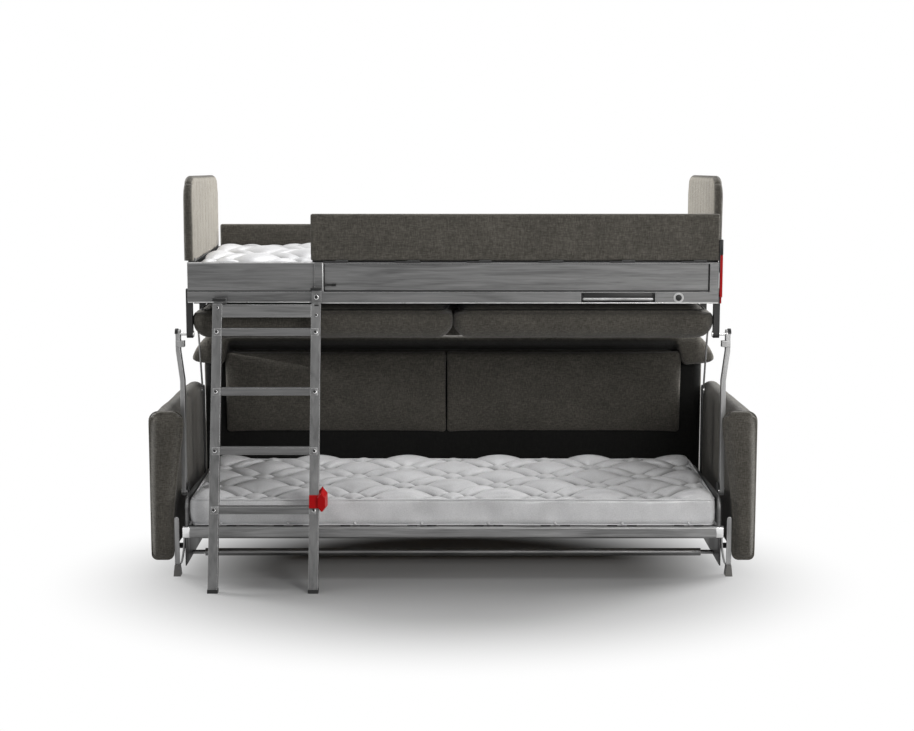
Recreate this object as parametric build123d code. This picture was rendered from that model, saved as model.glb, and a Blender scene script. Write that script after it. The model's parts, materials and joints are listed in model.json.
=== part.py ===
"""Sofa to bunk bed, standing open as a bunk bed with its ladder hooked on.

Frame: X runs along the sofa, Y runs from its front to its back, Z is up. The floor is Z = 0,
and the origin is the middle of the floor that the whole piece covers. Lengths are in millimetres.
Depths are measured from the front face of the lower bed and moved to the frame by at().
"""
import math
import os

from build123d import *

# Whole sofa
arm_outer = 1090.0
sofa_depth = 1000.0
ladder_reach = 209.0
front = (ladder_reach - sofa_depth) / 2
soft_gap = 0.4
seat_gap = 0.3
overrun = 5.0

# Planes along X in which the swinging parts pass each other
plate_inner = 966.5
plate_thick = 4.0
plane_gap = 0.5
post_outer = plate_inner - plane_gap
end_clearance = 13.0
bunk_end = post_outer - end_clearance
post_depth = 22.0
post_inner = post_outer - post_depth
rear_lever_thick = 4.5
front_lever_width = 16.0
lever_set = 14.0
arm_inner = 1014.0
rear_lever_inner = plate_inner + plate_thick + plane_gap
front_lever_inner = rear_lever_inner + rear_lever_thick + plane_gap
lever_top_inner = front_lever_inner + lever_set
lever_top_outer = lever_top_inner + front_lever_width

# Linkage: pivots of the levers in depth and height
base_pivot = (153.0, 288.0)
bunk_pivot = (173.0, 866.0)
rear_bunk_pivot = (515.0, 835.0)
rear_base_depth = 599.0
closed_height_sum = 1365.0
pin_r = 6.0
pin_clearance = 0.05
rear_pin_r = 5.0
open_pivot_gap = 0.3

# Lower bed
rail_half_length = 973.0
lower_side_gap = 9.5
lower_end = plate_inner - lower_side_gap
bed_depth = 760.0
rail_bottom = 145.0
rail_height = 45.0
rail_thick = 30.0
rail_round = 9.0
rail_wall = 2.5
end_rail_height = 28.0
end_rail_thick = 12.0
lower_drop = 112.0
slat_thick = 10.0
slat_width = 62.0
slat_count = 13
slat_inset = 60.0
slat_bow = 4.0
mattress_end_gap = 15.0
mattress_half_length = lower_end - mattress_end_gap
mattress_inset = 8.0
mattress_front = mattress_inset
mattress_back_gap = 1.7
mattress_swell = 5.0
mattress_depth = bed_depth - mattress_inset - mattress_swell - seat_gap - mattress_back_gap
mattress_thick = 107.0
mattress_edge_top = rail_bottom + rail_height + mattress_thick
mattress_lift = 0.5
mattress_crown = 4.0
mattress_corner = 22.0
hoop_r = 8.0
hoop_front_x = lower_end
hoop_gap = 1.5
hoop_back_x = mattress_half_length + hoop_r + hoop_gap
hoop_front = rail_thick / 2
hoop_back_gap = 6.0
hoop_back = bed_depth - rail_thick - hoop_r - hoop_back_gap
hoop_rise = 3.0
hoop_top = mattress_edge_top + hoop_rise
hoop_fall = 32.0
hoop_back_top = hoop_top - hoop_fall
hoop_bend = 38.0
guide_pin_depths = (80.0, 690.0)
guide_pin_drop = 7.0
guide_pin_height = rail_bottom + rail_height - guide_pin_drop
guide_slot_clearance = 0.3
guide_collar_r = 9.0

# Side plates and stand
plate_front = 46.0
plate_back = 860.0
plate_bottom = 34.0
plate_over_slot = 29.0
plate_top = guide_pin_height + plate_over_slot
tower_half = 32.0
upright_half = 20.0
plate_fillet = 30.0
plate_window_height = 70.0
plate_window_round = 18.0
plate_windows = ((135.0, 340.0), (390.0, 550.0))
plate_window_rise = 76.0
plate_window_bottom = plate_bottom + plate_window_rise
tube_r = 14.0
tube_wall = 2.0
front_tube_rise = 9.0
front_tube = (215.0, plate_bottom + front_tube_rise)
rear_tube_rise = 46.0
rear_tube = (815.0, plate_bottom + rear_tube_rise)
tube_flat_length = 46.0
tube_flat_thick = 9.0
leg_inner = 990.0
leg_width = 17.6
leg_thick = 8.0
leg_ahead = 10.0
leg_front = plate_front - leg_ahead
leg_over_plate = 4.0
leg_top = plate_top + leg_over_plate
foot_height = 40.0
foot_spread = 8.0
foot_depth = 44.0
blade_thick = 5.0
blade_drop = 44.0
blade_top = leg_top - blade_drop
blade_depth = 28.0
blade_spring_share = 0.4
rear_foot_r = 22.0
rear_foot_taper = 5.0
rear_foot_height = 60.0
rear_foot_x = 900.0
rear_foot_y = 945.0
spacer_r = 10.0
spacer_rise = 62.0
spacer_height = plate_bottom + spacer_rise
spacer_depths = (100.0, 370.0, 820.0)

# Levers
lever_depth = 32.0
lever_bend_low = 170.0
lever_bend_high = 60.0
lever_bend_round = 60.0
lever_block_drop = 9.0
lever_block_height = 22.0
lever_block_depth = 36.0
cap_wall = 3.5
cap_face = 2.5
rear_lever_width = 27.0
rear_lever_waist = 20.0
pin_head_r = 11.0
pin_head_thick = 3.5

# Bunk frame
bunk_front_y = 119.0
bunk_back_y = 868.0
bunk_above_pivot = 120.0
bunk_bottom = bunk_pivot[1] + bunk_above_pivot
bunk_height = 145.0
bunk_top = bunk_bottom + bunk_height
flange_height = 40.0
flange_reach = 6.0
flange_depth = 36.0
sheet = 3.0
groove_height = 2.0
lip_depth = 18.0
end_rail_depth = 18.0
side_lap = 3.0
bunk_slat_count = 13
bunk_slat_rise = 60.0
bunk_slat_top = bunk_bottom + bunk_slat_rise
board_thick = 10.0
post_width = 30.0
post_rise = 45.0
post_top = bunk_bottom + post_rise
post_round = 15.0
post_recess = 4.0
post_recess_margin = 7.0

# Bunk mattress
bunk_mattress_gap = 25.0
bunk_mattress_half = bunk_end - bunk_mattress_gap
bunk_mattress_sink = 1.0
bunk_mattress_edge_top = bunk_top - bunk_mattress_sink
bunk_crown_end = 8.0
bunk_crown_mid = 22.0
bunk_side_gap = 9.0
bunk_mattress_flat_share = 0.70
bunk_mattress_high_share = 0.50

# Seat cushions, which hang under the bunk when it is open
cushion_half_length = 938.0
cushion_mid_gap = 3.0
cushion_front = 144.0
cushion_back = 845.0
cushion_top = bunk_bottom + sheet - board_thick - seat_gap
cushion_thick = 116.0
cushion_bottom = cushion_top - cushion_thick
cushion_swell = 9.0
cushion_crown = 7.0
cushion_corner = 30.0
cushion_end_draw = 26.0

# Guards and headboards
guard_past_frame = 13.0
frame_left = -496.0
guard_left = frame_left - guard_past_frame
guard_right = bunk_end - plane_gap
guard_front = 103.0
guard_thick = 22.0
guard_lift = 7.0
guard_bottom = bunk_top + guard_lift
guard_height = 167.0
guard_top = guard_bottom + guard_height
guard_corner = 20.0
guard_hinge_r = 3.1
guard_knuckle = 90.0
guard_knuckle_count = 5
guard_leaf = 2.0
frame_front = 105.0
frame_end_gap = 1.0
frame_right = bunk_end - frame_end_gap
frame_post = 32.0
frame_bar_top = bunk_bottom + flange_height
frame_lap = 2.0
frame_bottom = bunk_bottom - frame_lap
frame_strip = 5.0
frame_gap = 0.5
rear_guard_thick = 17.0
rear_guard_rise = 87.0
rear_guard_top = bunk_top + rear_guard_rise
rear_guard_corner = 16.0
head_inner = 932.0
rear_guard_end_gap = 3.0
rear_guard_half = head_inner - rear_guard_end_gap
head_thick = 32.0
head_inset = 6.0
head_front = bunk_front_y + head_inset
head_back_inset = 14.0
head_back = bunk_back_y - head_back_inset
head_lift = 5.0
head_bottom = bunk_top + head_lift
head_height = 303.0
head_top = head_bottom + head_height
head_corner = 68.0
head_edge = 9.0
head_hinge_rise = 5.0
head_hinge_height = head_bottom + head_hinge_rise
head_hinge_r = 4.0
head_bracket_height = 46.0
head_bracket_width = 36.0
head_bracket_thick = 3.0
head_bracket_depths = (150.0, 790.0)

# Handle, rosette, latch and release lever on the bunk
handle_left = 459.0
handle_right = 725.0
handle_bar_r = 3.6
handle_rise = 6.0
handle_low = bunk_bottom + handle_rise
handle_height = 27.0
handle_top = handle_low + handle_height
handle_bend = 14.0
handle_margin = 9.0
rosette_x = 809.0
rosette_rise = 19.0
rosette_height = bunk_bottom + rosette_rise
rosette_r = 18.0
rosette_hole_r = 8.0
rosette_proud = 1.4
latch_rise = 24.0
latch_height = frame_bar_top + latch_rise
latch_rod_r = 3.0
latch_head_r = 4.5
latch_head = 16.0
latch_rod = 44.0
latch_travel = 10.0
latch_inset = 7.0
latch_depth = frame_front + latch_inset
release_rise = 81.0
release_top = bunk_top + release_rise
release_bottom = bunk_bottom - frame_lap
release_ahead = 15.5
release_front = bunk_front_y - release_ahead
release_width = 20.0
release_thick = 9.0
release_head = 54.0
release_grip_top = release_top - release_head
release_tip = 22.0
release_grip_bottom = release_bottom + release_tip
release_pivot_height = release_top - release_width / 2
release_core_share = 0.5
release_pin_r = 3.0
release_stay = 2.4

# Arms
arm_bottom = 60.0
arm_top = 600.0
arm_top_back = 574.0
arm_back = 950.0
arm_round = 34.0
pad_depth = 66.0
pad_top = 604.0
pad_bulge_x = 965.0
pad_bulge_height = 560.0
pad_low_x = 1008.0
pad_low_height = 222.0
pad_bottom_x = 1008.4
pad_gap = 0.4
pad_round = 12.0

# Back
back_inner = 935.0
back_half = arm_inner - seat_gap
back_bottom = 60.0
back_round = 10.0
hood_half = 1056.0
hood_front = 866.0
hood_bottom = 703.0
hood_gap = 3.0
back_top = hood_bottom - hood_gap
hood_top = 768.0
hood_end_bottom = 652.0
hood_nose = 34.0
hood_mitre = 930.0
hood_round = 22.0
hood_crown = 4.0
back_cushion_half = 922.0
back_cushion_gap = 1.5
back_cushion_bottom = 368.0
back_cushion_front = hood_front
back_cushion_crown = 10.0
back_cushion_corner = 14.0

# Ladder
ladder_left = -858.0
ladder_width = 386.0
stile_width = 34.0
stile_depth = 24.0
stile_wall = 2.0
ladder_gap = 23.0
ladder_top_y = frame_front - ladder_gap
ladder_drop = 2.0
ladder_top_z = bunk_bottom - ladder_drop
ladder_cap = 12.0
cap_proud = 1.5
ladder_foot_play = 0.5
ladder_foot_y = stile_depth / 2 + cap_proud + ladder_foot_play - ladder_reach
rung_height = 27.0
rung_depth = 26.0
rung_wall = 2.0
rung_tops = (292.0, 493.0, 696.0, 902.0)
top_plate_top = ladder_top_z
top_plate_height = 44.0
top_plate_thick = 3.0
screw_r = 6.0
screw_head = 1.6
hook_thick = 4.0
left_hook_width = 46.0
left_hook_rise = 18.0
left_hook_top = bunk_bottom + left_hook_rise
right_hook_rise = 54.0
right_hook_top = bunk_bottom + right_hook_rise
tongue_width = 9.6
tongue_depth = 13.0
tongue_thick = 4.0
slot_clearance = 3.0
hook_gap = 0.4
lock_height = 309.0
lock_size = 88.0
lock_chamfer = 22.0
lock_wing = 22.0
lock_thick = 12.0
lock_pin_r = 5.0
lock_box_height = 44.0
lock_box_proud = 6.0


def at(depth):
    """Depth behind the lower bed's front face, as a Y of the part's frame."""
    return front + depth


def block(x0, x1, y0, y1, z0, z1):
    """Box between two corners."""
    return Pos((x0 + x1) / 2, (y0 + y1) / 2, (z0 + z1) / 2) * Box(x1 - x0, y1 - y0, z1 - z0)


def rod_x(x0, x1, y, z, radius):
    """Round bar along X."""
    return Pos((x0 + x1) / 2, y, z) * Rot(0, 90, 0) * Cylinder(radius, x1 - x0)


def rod_y(x, y0, y1, z, radius):
    """Round bar along Y."""
    return Pos(x, (y0 + y1) / 2, z) * Rot(90, 0, 0) * Cylinder(radius, y1 - y0)


def side_plate_of(face, x0, x1):
    """Extrudes a face, drawn in depth and height, along X."""
    return extrude(Plane.YZ.offset(x0) * face, amount=x1 - x0)


def front_plate_of(face, y0, y1):
    """Extrudes a face, drawn in X and height, along Y."""
    return extrude(Plane.XZ.offset(-y0) * face, amount=-(y1 - y0))


def polygon(points):
    """Face inside straight lines."""
    return make_face(Polyline(*points, close=True))


def swung(shape, pivot, degrees):
    """Turns a shape about an X axis through a depth and a height."""
    y, z = pivot
    return Pos(0, y, z) * Rot(degrees, 0, 0) * Pos(0, -y, -z) * shape


def right(shape):
    """Right hand twin of a left hand piece, or the other way round."""
    return mirror(shape, about=Plane.YZ)


def pair(shape):
    """Both twins in one compound."""
    return Compound(children=[*shape.solids(), *right(shape).solids()])


def group(shapes):
    """Separate solids that share a node."""
    return Compound(children=[solid for shape in shapes for solid in shape.solids()])


def bow(start, middle, end):
    """Arc through three points, or a line where they are in one."""
    cross = (middle[0] - start[0]) * (end[1] - start[1]) - (middle[1] - start[1]) * (end[0] - start[0])
    if math.isclose(cross, 0, abs_tol=lever_length(start, end) * pin_clearance):
        return Line(start, end)
    return ThreePointArc(start, middle, end)


def pad_face(y0, y1, z0, z1, corner, crown, swell):
    """Section of a padded piece. It is crowned below and above, and swells in front and behind."""
    mid_y, mid_z = (y0 + y1) / 2, (z0 + z1) / 2
    bite = corner * (1 - math.sqrt(0.5))
    return make_face([
        bow((y0 + corner, z0), (mid_y, z0 - crown[0]), (y1 - corner, z0)),
        bow((y1 - corner, z0), (y1 - bite, z0 + bite), (y1, z0 + corner)),
        bow((y1, z0 + corner), (y1 + swell[1], mid_z), (y1, z1 - corner)),
        bow((y1, z1 - corner), (y1 - bite, z1 - bite), (y1 - corner, z1)),
        bow((y1 - corner, z1), (mid_y, z1 + crown[1]), (y0 + corner, z1)),
        bow((y0 + corner, z1), (y0 + bite, z1 - bite), (y0, z1 - corner)),
        bow((y0, z1 - corner), (y0 - swell[0], mid_z), (y0, z0 + corner)),
        bow((y0, z0 + corner), (y0 + bite, z0 + bite), (y0 + corner, z0)),
    ])


def loft_along_x(stations):
    """Ruled skin through faces, each given with its X."""
    return loft([Plane.YZ.offset(x) * face for x, face in stations], ruled=True)


def lever_angle(base, tip):
    """Angle of a lever above the Y axis, in degrees."""
    return math.degrees(math.atan2(tip[1] - base[1], tip[0] - base[0]))


def lever_length(base, tip):
    return math.hypot(tip[0] - base[0], tip[1] - base[1])


def closed_depth_sum():
    """A point of the open bunk at depth y lies at this sum less y when the sofa is closed."""
    rise = closed_height_sum - bunk_pivot[1] - base_pivot[1]
    run = math.sqrt(lever_length(base_pivot, bunk_pivot) ** 2 - rise ** 2)
    return base_pivot[0] + run + bunk_pivot[0]


def rear_base_pivot():
    """Lies as far from the rear bunk pivot when the bunk is open as when it is closed."""
    closed = (closed_depth_sum() - rear_bunk_pivot[0], closed_height_sum - rear_bunk_pivot[1])
    mid = ((rear_bunk_pivot[0] + closed[0]) / 2, (rear_bunk_pivot[1] + closed[1]) / 2)
    along = (closed[0] - rear_bunk_pivot[0], closed[1] - rear_bunk_pivot[1])
    return (rear_base_depth, mid[1] - along[0] / along[1] * (rear_base_depth - mid[0]))


rear_base = rear_base_pivot()


# Stand

def side_plate():
    """Left side plate: foot strip, front tower, rear upright, bed slots, windows and pin holes."""
    x0, x1 = -(plate_inner + plate_thick), -plate_inner
    strip = Pos(at((plate_front + plate_back) / 2), (plate_bottom + plate_top) / 2) * Rectangle(
        plate_back - plate_front, plate_top - plate_bottom)
    tower = Pos(at(base_pivot[0]), (plate_bottom + base_pivot[1]) / 2) * Rectangle(
        2 * tower_half, base_pivot[1] - plate_bottom)
    upright = Pos(at(rear_base[0]), (plate_bottom + rear_base[1]) / 2) * Rectangle(
        2 * upright_half, rear_base[1] - plate_bottom)
    outline = strip + tower + upright
    first, last = at(plate_front) + overrun, at(plate_back) - overrun
    inside = [v for v in outline.vertices() if abs(v.Y - plate_top) < plane_gap and first < v.X < last]
    outline = fillet(inside, plate_fillet)
    outline += Pos(at(base_pivot[0]), base_pivot[1]) * Circle(tower_half)
    outline += Pos(at(rear_base[0]), rear_base[1]) * Circle(upright_half)
    for y0, y1 in plate_windows:
        window = RectangleRounded(y1 - y0, plate_window_height, plate_window_round)
        outline -= Pos(at((y0 + y1) / 2), plate_window_bottom + plate_window_height / 2) * window
    slot_half = rear_pin_r + guide_slot_clearance
    for depth in guide_pin_depths:
        slot = SlotCenterToCenter(lower_drop, 2 * slot_half, rotation=90)
        outline -= Pos(at(depth), guide_pin_height - lower_drop / 2) * slot
    outline -= Pos(at(base_pivot[0]), base_pivot[1]) * Circle(pin_r + pin_clearance)
    outline -= Pos(at(rear_base[0]), rear_base[1]) * Circle(rear_pin_r + pin_clearance)
    return side_plate_of(outline, x0, x1)


def base_pins():
    """Pins that carry the levers on the side plates, with shoulders, on both sides."""
    y, z = at(base_pivot[0]), base_pivot[1]
    rear_y, rear_z = at(rear_base[0]), rear_base[1]
    lever_outer = front_lever_inner + front_lever_width
    pin = rod_x(plate_inner, lever_outer + pin_head_thick, y, z, pin_r)
    pin += rod_x(plate_inner + plate_thick, front_lever_inner - plane_gap / 2, y, z, pin_head_r)
    pin += rod_x(lever_outer + plane_gap / 2, lever_outer + pin_head_thick, y, z, pin_head_r)
    rear = rod_x(plate_inner, rear_lever_inner + rear_lever_thick, rear_y, rear_z, rear_pin_r)
    return pair(group([pin, rear]))


def cross_tube(place, flattened):
    """Tube between the side plates. The front one has its ends pressed flat."""
    depth, height = place
    y = at(depth)
    reach = plate_inner
    body = rod_x(-reach, reach, y, height, tube_r)
    body -= rod_x(-reach - overrun, reach + overrun, y, height, tube_r - tube_wall)
    if not flattened:
        return body
    body = body & block(-reach + tube_flat_length, reach - tube_flat_length,
                        y - 2 * tube_r, y + 2 * tube_r, height - 2 * tube_r, height + 2 * tube_r)
    tongue = block(-reach, -reach + tube_flat_length, y - tube_r, y + tube_r,
                   height - tube_flat_thick / 2, height + tube_flat_thick / 2)
    tongue = fillet(tongue.edges().filter_by(Axis.Y), tube_flat_thick / 2.2)
    return body + tongue + right(tongue)


def front_leg():
    """Left front leg: flat post outside the side plate, carried by a blade that curves out to it."""
    y0 = at(leg_front)
    post = block(-(leg_inner + leg_width), -leg_inner, y0, y0 + leg_thick, foot_height, leg_top)
    post = fillet(post.edges().filter_by(Axis.Y).group_by(Axis.Z)[-1], leg_width / 2.2)
    x_top, x_foot = -(plate_inner + plate_thick), -(leg_inner - blade_thick)
    bend = foot_height + (blade_top - foot_height) * blade_spring_share
    near = Bezier((x_top, blade_top), (x_top, bend), (x_foot, foot_height))
    far_top, far_foot = x_top - blade_thick, x_foot - blade_thick
    far = Bezier((far_top, blade_top), (far_top, bend), (far_foot, foot_height))
    outline = make_face([near, far, Line(near @ 0, far @ 0), Line(near @ 1, far @ 1)])
    blade = front_plate_of(outline, at(plate_front), at(plate_front) + blade_depth)
    return group([post, blade])


def front_feet():
    """Flared feet under the front legs."""
    y0 = at(leg_front)
    x_mid = -(leg_inner + leg_width / 2)
    y_mid = y0 + leg_thick
    top = Pos(x_mid, y_mid, foot_height) * Rectangle(leg_width, foot_depth - foot_spread)
    sole = Pos(x_mid, y_mid, 0) * Rectangle(leg_width + foot_spread, foot_depth)
    return pair(loft([sole, top]))


def rear_feet():
    """Round tapered feet under the back."""
    foot = Pos(-rear_foot_x, at(rear_foot_y), rear_foot_height / 2) * Cone(
        rear_foot_r - rear_foot_taper, rear_foot_r, rear_foot_height)
    return pair(foot)


def arm_spacers():
    """Tubes that carry the arms on the side plates, below the sweep of the levers."""
    tubes = [rod_x(-arm_inner, -(plate_inner + plate_thick), at(depth), spacer_height, spacer_r)
             for depth in spacer_depths]
    return pair(group(tubes))


# Upholstered stand

def arm():
    """Left arm behind its front pad: round top that falls slightly towards the back."""
    def section(depth, top):
        centre_x, width = -(arm_inner + arm_outer) / 2, arm_outer - arm_inner
        body = Pos(centre_x, (arm_bottom + top) / 2) * Rectangle(width, top - arm_bottom)
        body = fillet(body.vertices().group_by(Axis.Y)[-1], arm_round)
        body = fillet(body.vertices().group_by(Axis.Y)[0], arm_round / 2)
        return Plane.XZ.offset(-at(depth)) * body
    return loft([section(pad_depth + pad_gap, arm_top), section(arm_back, arm_top_back)], ruled=True)


def arm_pad():
    """Left front pad of the arm: its inner edge bulges towards the seat and draws in below."""
    outer, bulge = -arm_outer, -pad_bulge_x
    top_mid = (outer + bulge) / 2
    bite = pad_round * (1 - math.sqrt(0.5))
    face = make_face([
        Line((outer + pad_round, arm_bottom), (-pad_bottom_x, arm_bottom)),
        Line((-pad_bottom_x, arm_bottom), (-pad_low_x, pad_low_height)),
        Spline([(-pad_low_x, pad_low_height), (bulge, pad_bulge_height)],
               tangents=[(pad_bottom_x - pad_low_x, pad_low_height - arm_bottom), (0, 1)]),
        ThreePointArc((bulge, pad_bulge_height), (bulge - pad_round, pad_top - pad_round),
                      (bulge - 3 * pad_round, pad_top)),
        Line((bulge - 3 * pad_round, pad_top), (top_mid - pad_round, pad_top)),
        ThreePointArc((top_mid - pad_round, pad_top), (outer + pad_round, pad_top - pad_round),
                      (outer, pad_top - 4 * pad_round)),
        Line((outer, pad_top - 4 * pad_round), (outer, arm_bottom + pad_round)),
        ThreePointArc((outer, arm_bottom + pad_round), (outer + bite, arm_bottom + bite),
                      (outer + pad_round, arm_bottom)),
    ])
    pad = front_plate_of(face, at(0), at(pad_depth))
    front_edges = pad.faces().sort_by(Axis.Y)[0].edges()
    return fillet(front_edges, pad_round)


def backrest():
    """Upholstered back between the arms, from the feet to the hood."""
    fall = (back_half - hood_mitre) * (hood_bottom - hood_end_bottom) / (hood_half - hood_nose - hood_mitre)
    outline = polygon([(-back_half, back_bottom), (back_half, back_bottom), (back_half, back_top - fall),
                       (hood_mitre, back_top), (-hood_mitre, back_top), (-back_half, back_top - fall)])
    body = front_plate_of(outline, at(back_inner), at(sofa_depth))
    return fillet(body.edges().filter_by(Axis.Z), back_round)


def back_hood():
    """Hood along the top of the back. Its ends, past mitred seams, droop over the arms in a nose."""
    def section(y0, z0, z1, corner):
        return pad_face(y0, at(sofa_depth), z0, z1, corner, (0, hood_crown), (hood_crown, 0))
    middle = section(at(hood_front), hood_bottom, hood_top, hood_round)
    drop = section(at(hood_front + hood_round / 2), hood_end_bottom, hood_top, hood_round)
    nose = section(at(hood_front + hood_nose), hood_end_bottom + hood_nose / 2, hood_top - hood_nose,
                   hood_round)
    stations = [(-hood_half, nose), (-(hood_half - hood_nose), drop), (-hood_mitre, middle),
                (hood_mitre, middle), (hood_half - hood_nose, drop), (hood_half, nose)]
    return loft_along_x(stations)


def back_cushion():
    """Left back cushion, crowned towards the seat and drawn in at its ends."""
    def section(inset):
        return pad_face(at(back_cushion_front + inset), at(back_inner - soft_gap),
                        back_cushion_bottom + inset, hood_bottom - soft_gap - inset,
                        back_cushion_corner, (0, 0), (back_cushion_crown - inset, 0))
    inner, outer = -back_cushion_gap, -back_cushion_half
    draw = back_cushion_corner
    return loft_along_x([(outer, section(back_cushion_corner / 2)), (outer + draw, section(0)),
                         (inner - draw, section(0)), (inner, section(back_cushion_corner / 2))])


# Lower bed

def lower_rail(y0):
    """Round-edged tube along the bed."""
    y_mid, z_mid = y0 + rail_thick / 2, rail_bottom + rail_height / 2
    outer = Pos(y_mid, z_mid) * RectangleRounded(rail_thick, rail_height, rail_round)
    inner = Pos(y_mid, z_mid) * RectangleRounded(
        rail_thick - 2 * rail_wall, rail_height - 2 * rail_wall, rail_round - rail_wall)
    return outer, inner


def lower_front_rail():
    """Front tube, longer than the bed, with round end caps."""
    outer, inner = lower_rail(at(0))
    tube = side_plate_of(outer, -rail_half_length, rail_half_length)
    tube -= side_plate_of(inner, -rail_half_length + rail_round, rail_half_length - rail_round)
    ends = tube.faces().sort_by(Axis.X)
    return fillet([*ends[0].edges(), *ends[-1].edges()], rail_wall)


def lower_rear_rail():
    outer, inner = lower_rail(at(bed_depth - rail_thick))
    return side_plate_of(outer - inner, -lower_end, lower_end)


def lower_end_rail():
    """Left end rail: an angle, standing high enough to pass over the cross tube."""
    y0, y1 = at(rail_thick), at(bed_depth - rail_thick)
    z1 = rail_bottom + rail_height
    web = block(-lower_end, -(lower_end - sheet), y0, y1, z1 - end_rail_height + rail_wall, z1)
    shelf = block(-lower_end, -(lower_end - end_rail_thick), y0, y1, z1 - end_rail_height + rail_wall,
                  z1 - end_rail_height + rail_wall + sheet)
    return web + shelf


def bowed_slat(x, y0, y1, top, thick, width, bow):
    """Slat across the bed, bowed upwards."""
    mid_y = (y0 + y1) / 2
    face = make_face([
        ThreePointArc((y0, top - bow), (mid_y, top), (y1, top - bow)),
        Line((y1, top - bow), (y1, top - bow - thick)),
        ThreePointArc((y1, top - bow - thick), (mid_y, top - thick), (y0, top - bow - thick)),
        Line((y0, top - bow - thick), (y0, top - bow)),
    ])
    return side_plate_of(face, x - width / 2, x + width / 2)


def slat_row(half_length, count, y0, y1, top):
    pitch = 2 * (half_length - slat_inset) / (count - 1)
    first = -half_length + slat_inset
    return group([bowed_slat(first + i * pitch, y0, y1, top, slat_thick, slat_width, slat_bow)
                  for i in range(count)])


lower_slat_top = rail_bottom + rail_height - mattress_lift


def lower_slats():
    y0, y1 = at(rail_thick + seat_gap), at(bed_depth - rail_thick - seat_gap)
    return slat_row(lower_end, slat_count, y0, y1, lower_slat_top)


def lower_mattress():
    """Crowned mattress with swelling sides and drawn-in ends."""
    y0, y1 = at(mattress_front), at(mattress_front + mattress_depth)
    z0 = rail_bottom + rail_height + seat_gap

    def section(inset, crown):
        return pad_face(y0 + inset, y1 - inset, z0, mattress_edge_top - inset, mattress_corner, (0, crown),
                        (mattress_swell, mattress_swell))
    half, draw = mattress_half_length, mattress_corner
    return loft_along_x([(-half, section(mattress_swell, 0)), (-half + draw, section(0, mattress_crown)),
                         (half - draw, section(0, mattress_crown)), (half, section(mattress_swell, 0))])


def mattress_hoops():
    """Tubes that hold the mattress at its ends: up from the front rail, then back along the end."""
    seat = rail_bottom + rail_height
    x0, x1, y0, y1 = -hoop_front_x, -hoop_back_x, at(hoop_front), at(hoop_back)
    path = FilletPolyline((x0, y0, seat), (x0, y0, hoop_top - hoop_r), (x1, y1, hoop_back_top),
                          (x1, y1, seat), radius=hoop_bend)
    tube = sweep(Plane(origin=path @ 0, z_dir=path % 0) * Circle(hoop_r), path=path)
    return pair(tube)


def guide_pins():
    """Pins on the end rails that run in the slots of the side plates."""
    pins = []
    for depth in guide_pin_depths:
        y, z = at(depth), guide_pin_height
        pin = rod_x(-(plate_inner + plate_thick + plane_gap / 2), -lower_end, y, z, rear_pin_r)
        pin += rod_x(-(plate_inner - plane_gap), -lower_end, y, z, guide_collar_r)
        pins.append(pin)
    return pair(group(pins))


# Levers

def front_lever():
    """Left front lever: flat bar that sets outwards near its top, with a block under its eye."""
    length = lever_length(base_pivot, bunk_pivot)
    y, z0 = at(base_pivot[0]), base_pivot[1]
    end = lever_depth / 2
    x0, x1 = -(front_lever_inner + front_lever_width), -front_lever_inner
    low, high = z0 + length - lever_bend_low, z0 + length - lever_bend_high
    top = z0 + length + end
    set_x0, set_x1 = x0 - lever_set, x1 - lever_set
    profile = polygon([(x0, z0 - end), (x1, z0 - end), (x1, low), (set_x1, high), (set_x1, top),
                       (set_x0, top), (set_x0, high), (x0, low)])
    bends = [v for v in profile.vertices() if z0 < v.Y < top - overrun]
    profile = fillet(bends, lever_bend_round)
    bar = front_plate_of(profile, y - lever_depth, y + lever_depth)
    outline = Pos(y, z0 + length / 2) * SlotCenterToCenter(length, lever_depth, rotation=90)
    outline -= Pos(y, z0) * Circle(pin_r + pin_clearance)
    outline -= Pos(y, z0 + length) * Circle(pin_r + pin_clearance)
    bar = bar & side_plate_of(outline, x0 - 2 * lever_set, x1 + lever_set)
    block_top = z0 + length - lever_depth / 2 - lever_block_drop
    bar += block(x0 - lever_set, x1, y - lever_block_depth / 2, y + lever_block_depth / 2,
                 block_top - lever_block_height, block_top)
    lean = lever_angle(base_pivot, bunk_pivot) - 90
    return swung(bar, (y, z0), lean)


def lever_caps():
    """Black caps over the eyes of the front levers."""
    y, z = at(bunk_pivot[0]), bunk_pivot[1]
    inner_r = lever_depth / 2 + pin_clearance
    cap = rod_x(-(lever_top_outer + cap_face), -(lever_top_outer - front_lever_width / 2), y, z,
                inner_r + cap_wall)
    cap -= rod_x(-lever_top_outer, -lever_top_inner, y, z, inner_r)
    cap -= block(-arm_inner, -lever_top_inner, y - lever_depth, y + lever_depth,
                 z - 2 * lever_depth, z + front_lever_width / 8)
    cap -= rod_x(-arm_inner, -lever_top_inner, y, z, pin_r + pin_clearance)
    return pair(cap)


def rear_lever():
    """Left rear lever: thin waisted link, stopped short of the bunk's pin."""
    base = (at(rear_base[0]), rear_base[1])
    tip = (at(rear_bunk_pivot[0]), rear_bunk_pivot[1])
    length = lever_length(base, tip)
    end = rear_lever_width / 2
    y, z0 = base
    waist = rear_lever_waist / 2
    link = Pos(y, z0 + length / 2) * Rectangle(2 * waist, length)
    link += Pos(y, z0) * Circle(end) + Pos(y, z0 + length) * Circle(end)
    link -= Pos(y, z0) * Circle(rear_pin_r + pin_clearance)
    bar = side_plate_of(link, -(rear_lever_inner + rear_lever_thick), -rear_lever_inner)
    return swung(bar, base, lever_angle(base, tip) - 90)


# Bunk frame

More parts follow.
